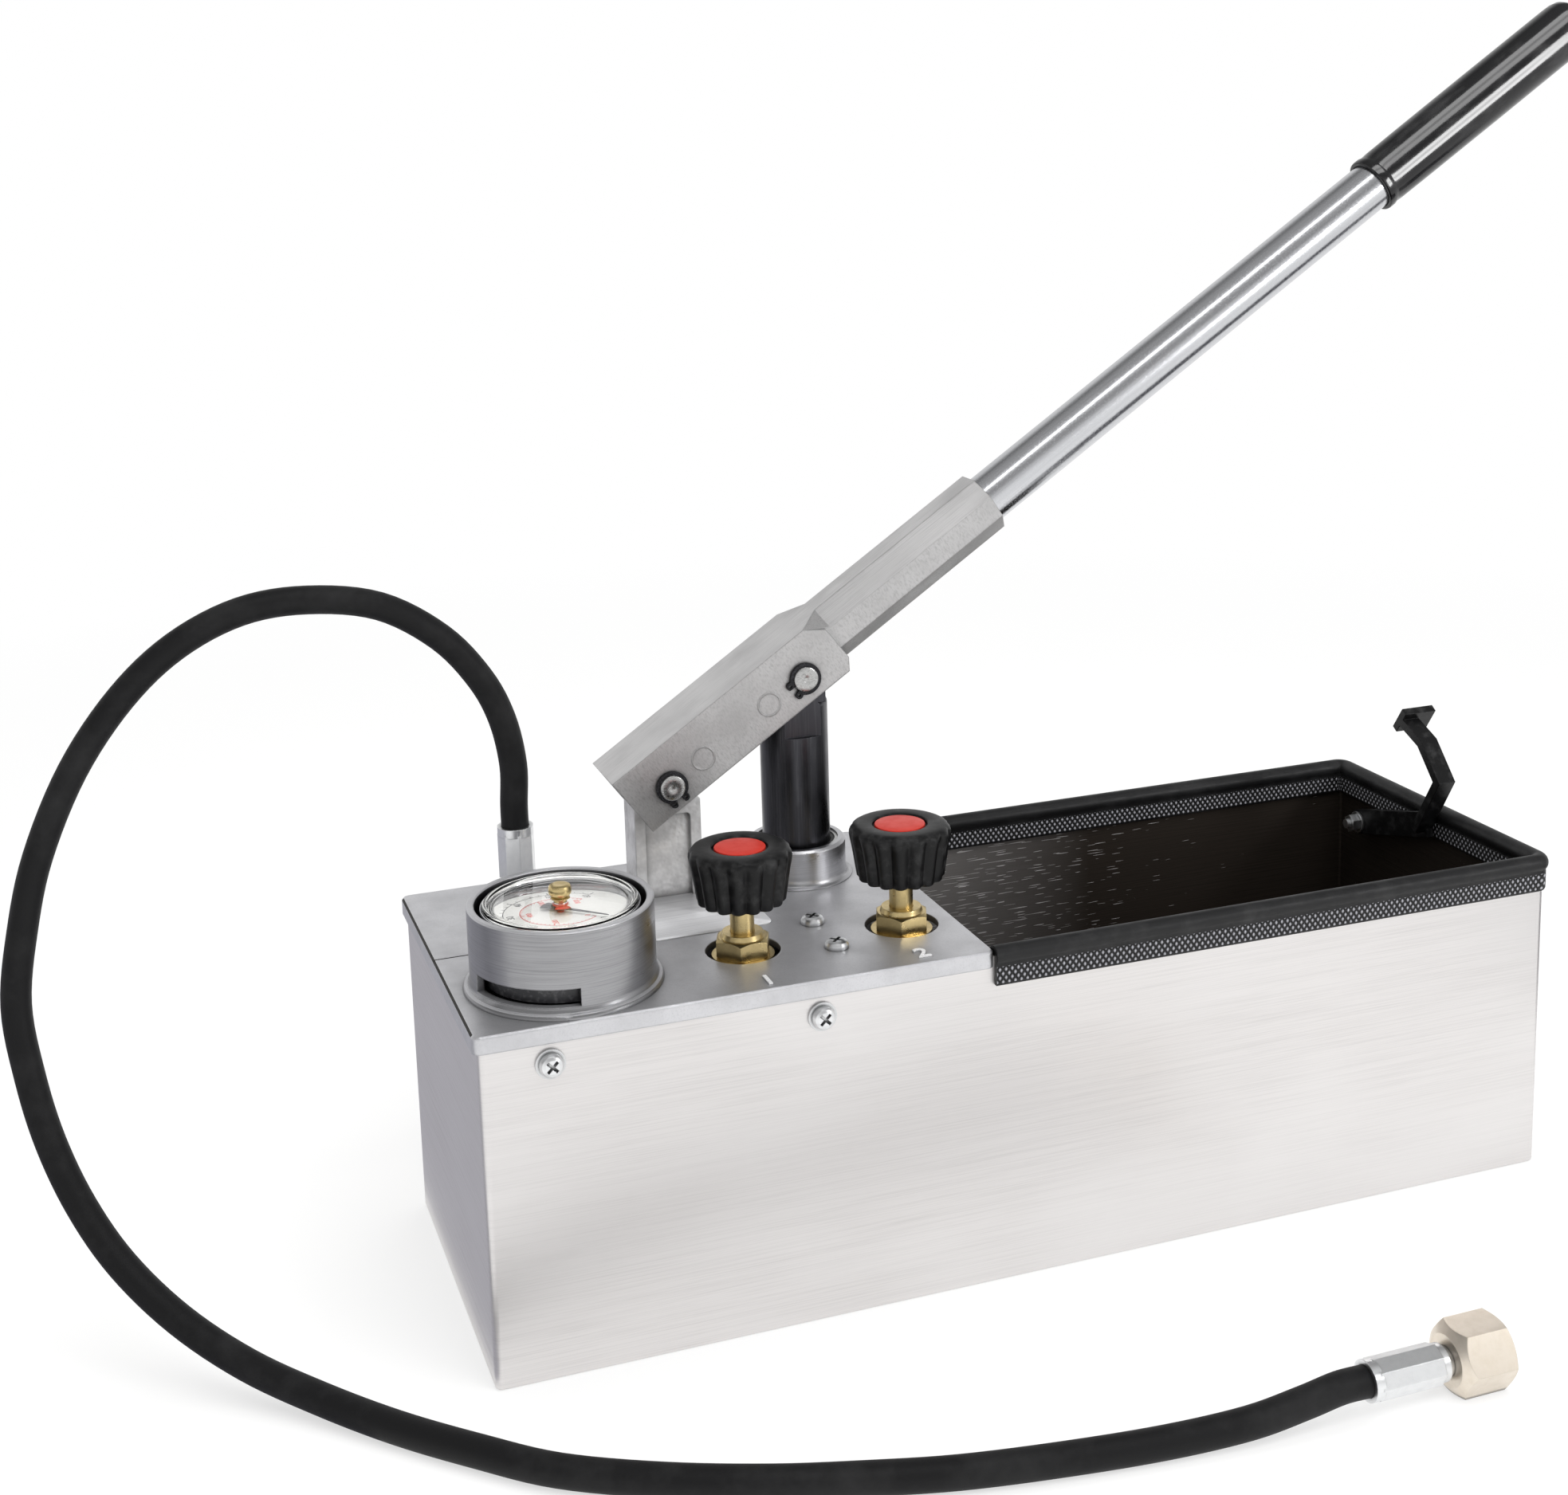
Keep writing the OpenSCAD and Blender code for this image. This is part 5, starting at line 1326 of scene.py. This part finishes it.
class PUMP_OT_trim(bpy.types.Operator):
    """Adds the rim trim: a smooth roll over two legs of knitted band"""

    bl_idname = "pump.trim"
    bl_label = "Rim trim"

    def execute(self, context):
        sizes = context.scene.pump_sizes
        low, high = (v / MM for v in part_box("rim_trim"))
        rim = high.z - TRIM_ROLL
        line_x, line_y = high.x - TRIM_ROLL, high.y - TRIM_ROLL
        turn_x, turn_y = line_x - TRIM_TURN, line_y - TRIM_TURN
        step = sizes.knit_long / MM / 4
        count = round(math.pi / 2 * TRIM_TURN / step)
        corners = []
        for side in (-1, 1):
            for k in range(count + 1):
                turn = math.pi / 2 * (k / count - (side < 0))
                x, y = TRIM_TURN * math.cos(turn), TRIM_TURN * math.sin(turn)
                corners.append((turn_x + x, side * turn_y + y))
        stops = [(low.x, -line_y), *corners, (low.x, line_y)]
        path = []
        for start, end in zip(stops, stops[1:]):
            count = max(round(math.dist(start, end) / step), 1)
            for k in range(count):
                x, y = (a + (b - a) * k / count for a, b in zip(start, end))
                path.append(Vector((x, y, rim)) * MM)
        path.append(Vector((*stops[-1], rim)) * MM)

        # Section: the roll from outside to inside, the inner leg, the slot for the sheet, the outer leg.
        shares = (ROLL_SWEEP_DEG * k / ROLL_STEPS for k in range(ROLL_STEPS + 1))
        turns = [math.radians(ROLL_START_DEG + share) for share in shares]
        section = [(TRIM_ROLL * math.cos(a), TRIM_ROLL * math.sin(a), False) for a in turns]
        half = TRIM_THICK / 2
        deep = rim - low.z
        knit = [-KNIT_TOP - (deep - KNIT_FOOT - KNIT_TOP) * k / KNIT_STEPS for k in range(KNIT_STEPS + 1)]
        foot = [(half, 0.6), (half - 0.25, 0.15), (half - 0.7, 0), (1.2, 0), (SLOT_HALF, 0.2)]
        section += [(-half, rise, True) for rise in knit]
        section += [(-across, rise - deep, False) for across, rise in foot]
        section += [(-SLOT_HALF, 0, False), (SLOT_HALF, 0, False)]
        section += [(across, rise - deep, False) for across, rise in reversed(foot)]
        section += [(half, rise, True) for rise in reversed(knit)]

        shape = bmesh.new()
        rings, cloth = [], {}
        for point, side, up, run in frames(path, True):
            ring = []
            for across, rise, knitted in section:
                if knitted:
                    u, v = run / sizes.knit_long, -rise * MM / sizes.knit_high
                    knuckle = abs(math.cos(math.tau * u) + math.cos(math.tau * v)) / 2
                    across += math.copysign(sizes.knit_deep / MM * (knuckle - KNIT_MEAN), across)
                vert = shape.verts.new(point + (side * across + up * rise) * MM)
                if knitted:
                    cloth[vert] = (u, v)
                ring.append(vert)
            rings.append(ring)
        skin(shape, rings)
        layer = shape.loops.layers.uv.new("length")
        for face in shape.faces:
            face.material_index = int(all(v in cloth for v in face.verts))
            for loop in face.loops:
                loop[layer].uv = cloth.get(loop.vert, (0, 0))
        new_piece(
            "rim_trim_knitted",
            smooth(shape, sharp_deg=60),
            "frame",
            "dark_rubber",
            extruded_rubber,
            knitted_rubber_band,
            replaces=("rim_trim",),
        )
        return {"FINISHED"}


class PUMP_OT_cover(bpy.types.Operator):
    """Adds the cast cover with its turned collar and boss, its bare plate and the valves' marks"""

    bl_idname = "pump.cover"
    bl_label = "Cover"

    def execute(self, context):
        sizes = context.scene.pump_sizes
        low, high = (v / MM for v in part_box("cover"))

        def on_edge(middle):
            x, y, z = middle
            border = abs(y) > high.y - EDGE_IN or x < low.x + EDGE_IN or x > high.x - EDGE_IN
            return border and (z > COVER_TOP - EDGE_TOP or z < COVER_TOP - EDGE_SKIRT)

        cover = dressed("cover_casting", "cover", "frame", sizes.edge / 2, *COVER_COATS, keep=on_edge)

        def part(middle, normal):
            # Faces down in the groove take its near-black finish: painted shade in the groove.
            over_groove = middle.x < GROOVE_END and abs(middle.y - GROOVE_Y) < GROOVE_HALF
            if over_groove and COVER_TOP - GROOVE_DEEP < middle.z < COVER_TOP - LEVEL:
                return COVER_COATS.index(grimy_groove)
            if middle.z < COVER_TOP + LEVEL:
                return COVER_COATS.index(tumbled_aluminium_casting)
            if (middle - Vector(GAUGE_AXIS) / MM).xy.length > COLLAR_REACH:
                return COVER_COATS.index(turned_boss)
            # The collar's side walls take the darker turned finish, painted shade; its top keeps the
            # lighter casting colour.
            wall = abs(normal.z) < WALL_RISE
            return COVER_COATS.index(turned_collar if wall else tumbled_aluminium_casting)

        faces_pick(cover, part)
        tree = surface([cover])
        place = meet(tree, POINTS["label_plate"])
        shape = bmesh.new()
        long, wide = sizes.plate_long / MM, sizes.plate_wide / MM
        flat = Matrix.Translation(place + Vector((-long / 2, wide / 2, 0)) * MM)
        plate_form(shape, round_corners(long, wide, PLATE_CORNER), flat, 0.0, PLATE_THICK)
        border = 2 * PLATE_BORDER
        face = round_corners(long - border, wide - border, PLATE_FACE_CORNER)
        plate_form(shape, face, flat, *PLATE_FACE)
        new_piece("bare_plate", smooth(shape), "frame", "zinc_steel", satin_rating_plate)
        shape = bmesh.new()
        for words, point in (("1", "mark_1"), ("2", "mark_2")):
            place = Matrix.Translation(meet(tree, POINTS[point]))
            figures(shape, words, place, MARK_HIGH, MARK_THICK, bold=MARK_BOLD)
        new_piece("valve_marks", smooth(shape), "frame", "cast_alloy", rubbed_marks)
        return {"FINISHED"}


class PUMP_OT_valves(bpy.types.Operator):
    """Adds the two valves: hexagon gland nuts, lobed hand knobs and their discs"""

    bl_idname = "pump.valves"
    bl_label = "Valves"

    def execute(self, context):
        sizes = context.scene.pump_sizes
        depth, lobes = sizes.knob_rise / MM, sizes.knob_lobes
        start, end = KNOB_FADE

        def lobed(step, radius, turn):
            share = min(max((end - KNOB[step][1]) / (end - start), 0), 1) * (radius > KNOB_WALL)
            valley = 1 - math.sqrt(math.cos(lobes * turn / 2) ** 2 + VALLEY_SOFT)
            return radius - depth * share * max(valley, 0)

        for number in (1, 2):
            low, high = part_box(f"valve_{number}_knob")
            foot = Matrix.Translation(((low.x + high.x) / 2, (low.y + high.y) / 2, low.z))
            body = f"valve_{number}_handle"
            new_piece(
                f"valve_{number}_hand_knob",
                smooth(turned(KNOB, foot, KNOB_SIDES, swell=lobed), sharp_deg=50),
                body,
                "black_plastic",
                moulded_black_plastic,
                replaces=(f"valve_{number}_knob",),
            )
            disc, cap = f"valve_{number}_disc", f"valve_{number}_cap"
            turned_piece(disc, (DISC, foot, 96), body, "red_plastic", moulded_red_plastic, cap)
            dressed(f"valve_{number}_gland", f"valve_{number}_gland_nut", "frame", 0.35 * MM, sharp_deg=24)
        return {"FINISHED"}


# Needles: name, CAD node, body, slot, finish, then turn at rest, heights, reach, tail and hub radius.
NEEDLES = (
    ("pointer_needle", "gauge_pointer", "pointer", "pointer_black", black_paint)
    + (ZERO_DEG, (1.6, 2.2), 23.4, 8, 3.0),
    ("drag_needle", "drag_pointer", "drag_pointer", "pointer_red", red_paint)
    + (86, (3.6, 4.2), 25.5, 6, 3.4),
)


class PUMP_OT_gauge(bpy.types.Operator):
    """Adds the gauge: chromed bezel, clear lens, printed dial, both pointers and the reset button"""

    bl_idname = "pump.gauge"
    bl_label = "Gauge"

    def execute(self, context):
        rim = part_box("gauge_bezel")[1].z + GAUGE_LIFT * MM
        top = Matrix.Translation(Vector(GAUGE_AXIS) + Vector((0, 0, rim)))
        face = Matrix.Translation(Vector(GAUGE_AXIS) + Vector((0, 0, rim - DIAL_DEPTH * MM)))
        bezel, lens, button = (BEZEL, top, 160, True), (LENS, top, 160, True), (BUTTON, top, 64)
        for row in (
            ("gauge_bezel_ring", bezel, "frame", "gauge_metal", polished_chromium, "gauge_bezel"),
            ("gauge_lens", lens, "frame", "glass", clear_acrylic, "gauge_glass"),
            ("gauge_reset_button", button, "drag_pointer", "brass", machined_brass, "reset_knob"),
        ):
            turned_piece(*row)
        self.dial(face)
        for row in NEEDLES:
            self.pointer(face, *row)
        return {"FINISHED"}

    def dial(self, face):
        hole, edge, lip = DIAL_HOLE, DIAL_RADIUS, DIAL_RADIUS - 0.2
        disc = [(hole, -1.2), (lip, -1.2), (edge, -1.0), (edge, -0.2), (lip, 0), (hole, 0)]
        shape = turned(disc, face, 128)

        def spot(radius, turn):
            return radius * math.cos(math.radians(turn)), radius * math.sin(math.radians(turn))

        def arc(inner, outer, start, end, index):
            steps = max(int(abs(end - start) / ARC_STEP_DEG), 2)
            first = len(shape.faces)
            line = [start + (end - start) * k / steps for k in range(steps + 1)]
            outline = [spot(outer, turn) for turn in line] + [spot(inner, turn) for turn in reversed(line)]
            plate_form(shape, outline, face, 0, PRINT_PROUD)
            shape.faces.ensure_lookup_table()
            for made in shape.faces[first:]:
                made.material_index = index

        # index is the ink's number, top the last value; small and big are the steps between ticks.
        def scale(index, top, small, big, ring, ticks, figures_at, high):
            arc(ring - LINE_HALF, ring + LINE_HALF, ZERO_DEG, ZERO_DEG - SWEEP_DEG, index)
            for value in range(0, top + 1, small):
                main = value % big == 0
                turn = ZERO_DEG - SWEEP_DEG * value / top
                wide = math.degrees(TICK_HALF[main] / ring)
                arc(*sorted((ring, ring + ticks[main])), turn - wide, turn + wide, index)
                if main:
                    middle = Vector((*spot(figures_at, turn), PRINT_PROUD / 2)) * MM
                    place = face @ Matrix.Translation(middle) @ Matrix.Rotation(math.radians(90), 4, "Z")
                    figures(shape, str(value), place, high, PRINT_PROUD, index)

        scale(1, 60, 2, 10, 24.6, (1.6, 2.8), 21.6, 3.3)
        scale(2, 800, 20, 200, 17.4, (-1.0, -1.9), 13.4, 2.5)
        coats = (enamelled_dial, black_ink, red_ink)
        smooth(shape)
        new_piece("gauge_dial_printed", shape, "frame", "dial_white", *coats, replaces=("gauge_dial",))

    def pointer(self, face, name, node, body, slot, maker, heading, heights, reach, tail, hub):
        low, high = heights
        way = face @ Matrix.Rotation(math.radians(heading), 4, "Z")
        rim = [(hub - 0.15, low), (hub, low + 0.15), (hub, high - 0.1), (hub - 0.25, high + 0.1)]
        shape = turned([(0, low), *rim, (0, high + 0.1)], face, 48)
        fin = [(-tail, 3.4), (-tail - 0.5, 2.2), (-tail - 0.85, 0), (-tail - 0.5, -2.2), (-tail, -3.4)]
        blade = [(-1, -1.1), (reach - 1, -0.32), (reach, 0), (reach - 1, 0.32), (-1, 1.1)]
        plate_form(shape, fin + blade, way, low + 0.1, high - 0.1)
        bottom, top = (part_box(node)[k].z / MM - face.translation.z / MM for k in (0, 1))
        side = [(1.3, bottom), (1.45, bottom + 0.15), (1.45, top - 0.15), (1.3, top)]
        join(shape, turned([(0, bottom), *side, (0, top)], face, 40))
        new_piece(name, smooth(shape), body, slot, maker, replaces=(node,))


class PUMP_OT_piston(bpy.types.Operator):
    """Adds the piston with rounded edges"""

    bl_idname = "pump.piston"
    bl_label = "Piston"

    def execute(self, context):
        dressed("piston_rod", "piston", "piston", 0.4 * MM)
        return {"FINISHED"}


class PUMP_OT_lever(bpy.types.Operator):
    """Adds the lever: its cast head, chromed tube, dipped grip and the two pins"""

    bl_idname = "pump.lever"
    bl_label = "Lever"

    def execute(self, context):
        edge = context.scene.pump_sizes.edge
        coats = (lever_cheek_casting, lever_roof_linished)
        head = dressed("lever_head_casting", "lever_head", "lever", edge, *coats)
        up = LEVER.to_3x3() @ Vector((0, 0, 1))
        # Faces that look up take the roof finish, lighter as painted light; the cheeks stay darker as
        # painted shade.
        faces_pick(head, lambda _, normal: int(normal.dot(up) > ROOF_RISE))
        axis = LEVER @ ALONG_TUBE
        tube, sleeve = (TUBE, axis, 160, True), (GRIP, axis, 128)
        turned_piece("lever_chromed_tube", tube, "lever", "chrome", chromed_tube, "lever_tube")
        grip = turned_piece("lever_dipped_grip", sleeve, "lever", "grip_black", dipped_vinyl, "lever_grip")
        bpy.data.collections[GRIP_LIT].objects.link(grip)
        for name, node, reach in (("pin_at_link", "link_pin", 0.0), ("pin_at_piston", "piston_pin", ARM)):
            body = next(b for b, o in BODY_OF.items() if node in o)
            pivot = LEVER @ Matrix.Translation((reach * MM, 0, 0))
            place = pivot @ Matrix.Rotation(math.radians(90), 4, "X")
            turned_piece(name, (PIN, place, 72), body, "turned_steel", turned_steel, node)
        body = next(b for b, o in BODY_OF.items() if "circlips" in o)
        shape = rounded("circlips", 0.15 * MM)
        for vert in shape.verts:
            for reach, turn in ((0.0, CLIP_TURNS[0]), (ARM, CLIP_TURNS[1])):
                axis = LEVER @ Vector((reach * MM, 0, 0))
                if (vert.co - axis).xz.length < CLIP_REACH * MM:
                    spin = Matrix.Rotation(math.radians(turn), 4, "Y")
                    vert.co = axis + spin @ (vert.co - axis)
                    break
        new_piece("pin_clips", shape, body, "clip_steel", phosphated_spring_steel, replaces=("circlips",))
        return {"FINISHED"}


class PUMP_OT_link(bpy.types.Operator):
    """Adds the cast link with its flanges"""

    bl_idname = "pump.link"
    bl_label = "Link"

    def execute(self, context):
        dressed("link_bar", "link", "link", 0.7 * MM, link_casting)
        return {"FINISHED"}


class PUMP_OT_hook(bpy.types.Operator):
    """Adds the moulded hook that holds the folded lever"""

    bl_idname = "pump.hook"
    bl_label = "Hook"

    def execute(self, context):
        dressed("lever_hook", "hook", "hook", 0.7 * MM)
        return {"FINISHED"}


class PUMP_OT_coats(bpy.types.Operator):
    """Gives every carried-over CAD node the finish of its material slot"""

    bl_idname = "pump.coats"
    bl_label = "CAD finishes"

    def execute(self, context):
        for part in frame["record"]["subparts"]:
            coat(NODES[part["node"]], NODE_COATS.get(part["node"], COATS[part["material_slot"]]))
        return {"FINISHED"}


class PUMP_PT_panel(bpy.types.Panel):
    """Lists the pump's pieces and settings"""

    bl_idname = "PUMP_PT_panel"
    bl_label = "Pressure test pump"
    bl_space_type = "VIEW_3D"
    bl_region_type = "UI"
    bl_category = "Pump"

    def draw(self, context):
        for operator in OPERATORS:
            self.layout.operator(operator.bl_idname)
        for group in GROUPS:
            settings = getattr(context.scene, group)
            box = self.layout.box()
            for key in settings.bl_rna.properties.keys():
                if key not in ("rna_type", "name"):
                    box.prop(settings, key)


OPERATORS = (
    PUMP_OT_stage,
    PUMP_OT_hose,
    PUMP_OT_tank,
    PUMP_OT_trim,
    PUMP_OT_cover,
    PUMP_OT_valves,
    PUMP_OT_gauge,
    PUMP_OT_piston,
    PUMP_OT_lever,
    PUMP_OT_link,
    PUMP_OT_hook,
    PUMP_OT_coats,
)
GROUPS = {"pump_sizes": PumpSizes, "pump_colours": PumpColours, "pump_studio": PumpStudio}


def register():
    for item in (*GROUPS.values(), *OPERATORS, PUMP_PT_panel):
        bpy.utils.register_class(item)
    for name, group in GROUPS.items():
        setattr(bpy.types.Scene, name, bpy.props.PointerProperty(type=group))


def unregister():
    for name in GROUPS:
        delattr(bpy.types.Scene, name)
    for item in (PUMP_PT_panel, *reversed(OPERATORS), *GROUPS.values()):
        bpy.utils.unregister_class(item)


def main():
    register()
    for operator in OPERATORS:
        category, name = operator.bl_idname.split(".")
        getattr(getattr(bpy.ops, category), name)()
    write_points()


if __name__ == "__main__":
    main()
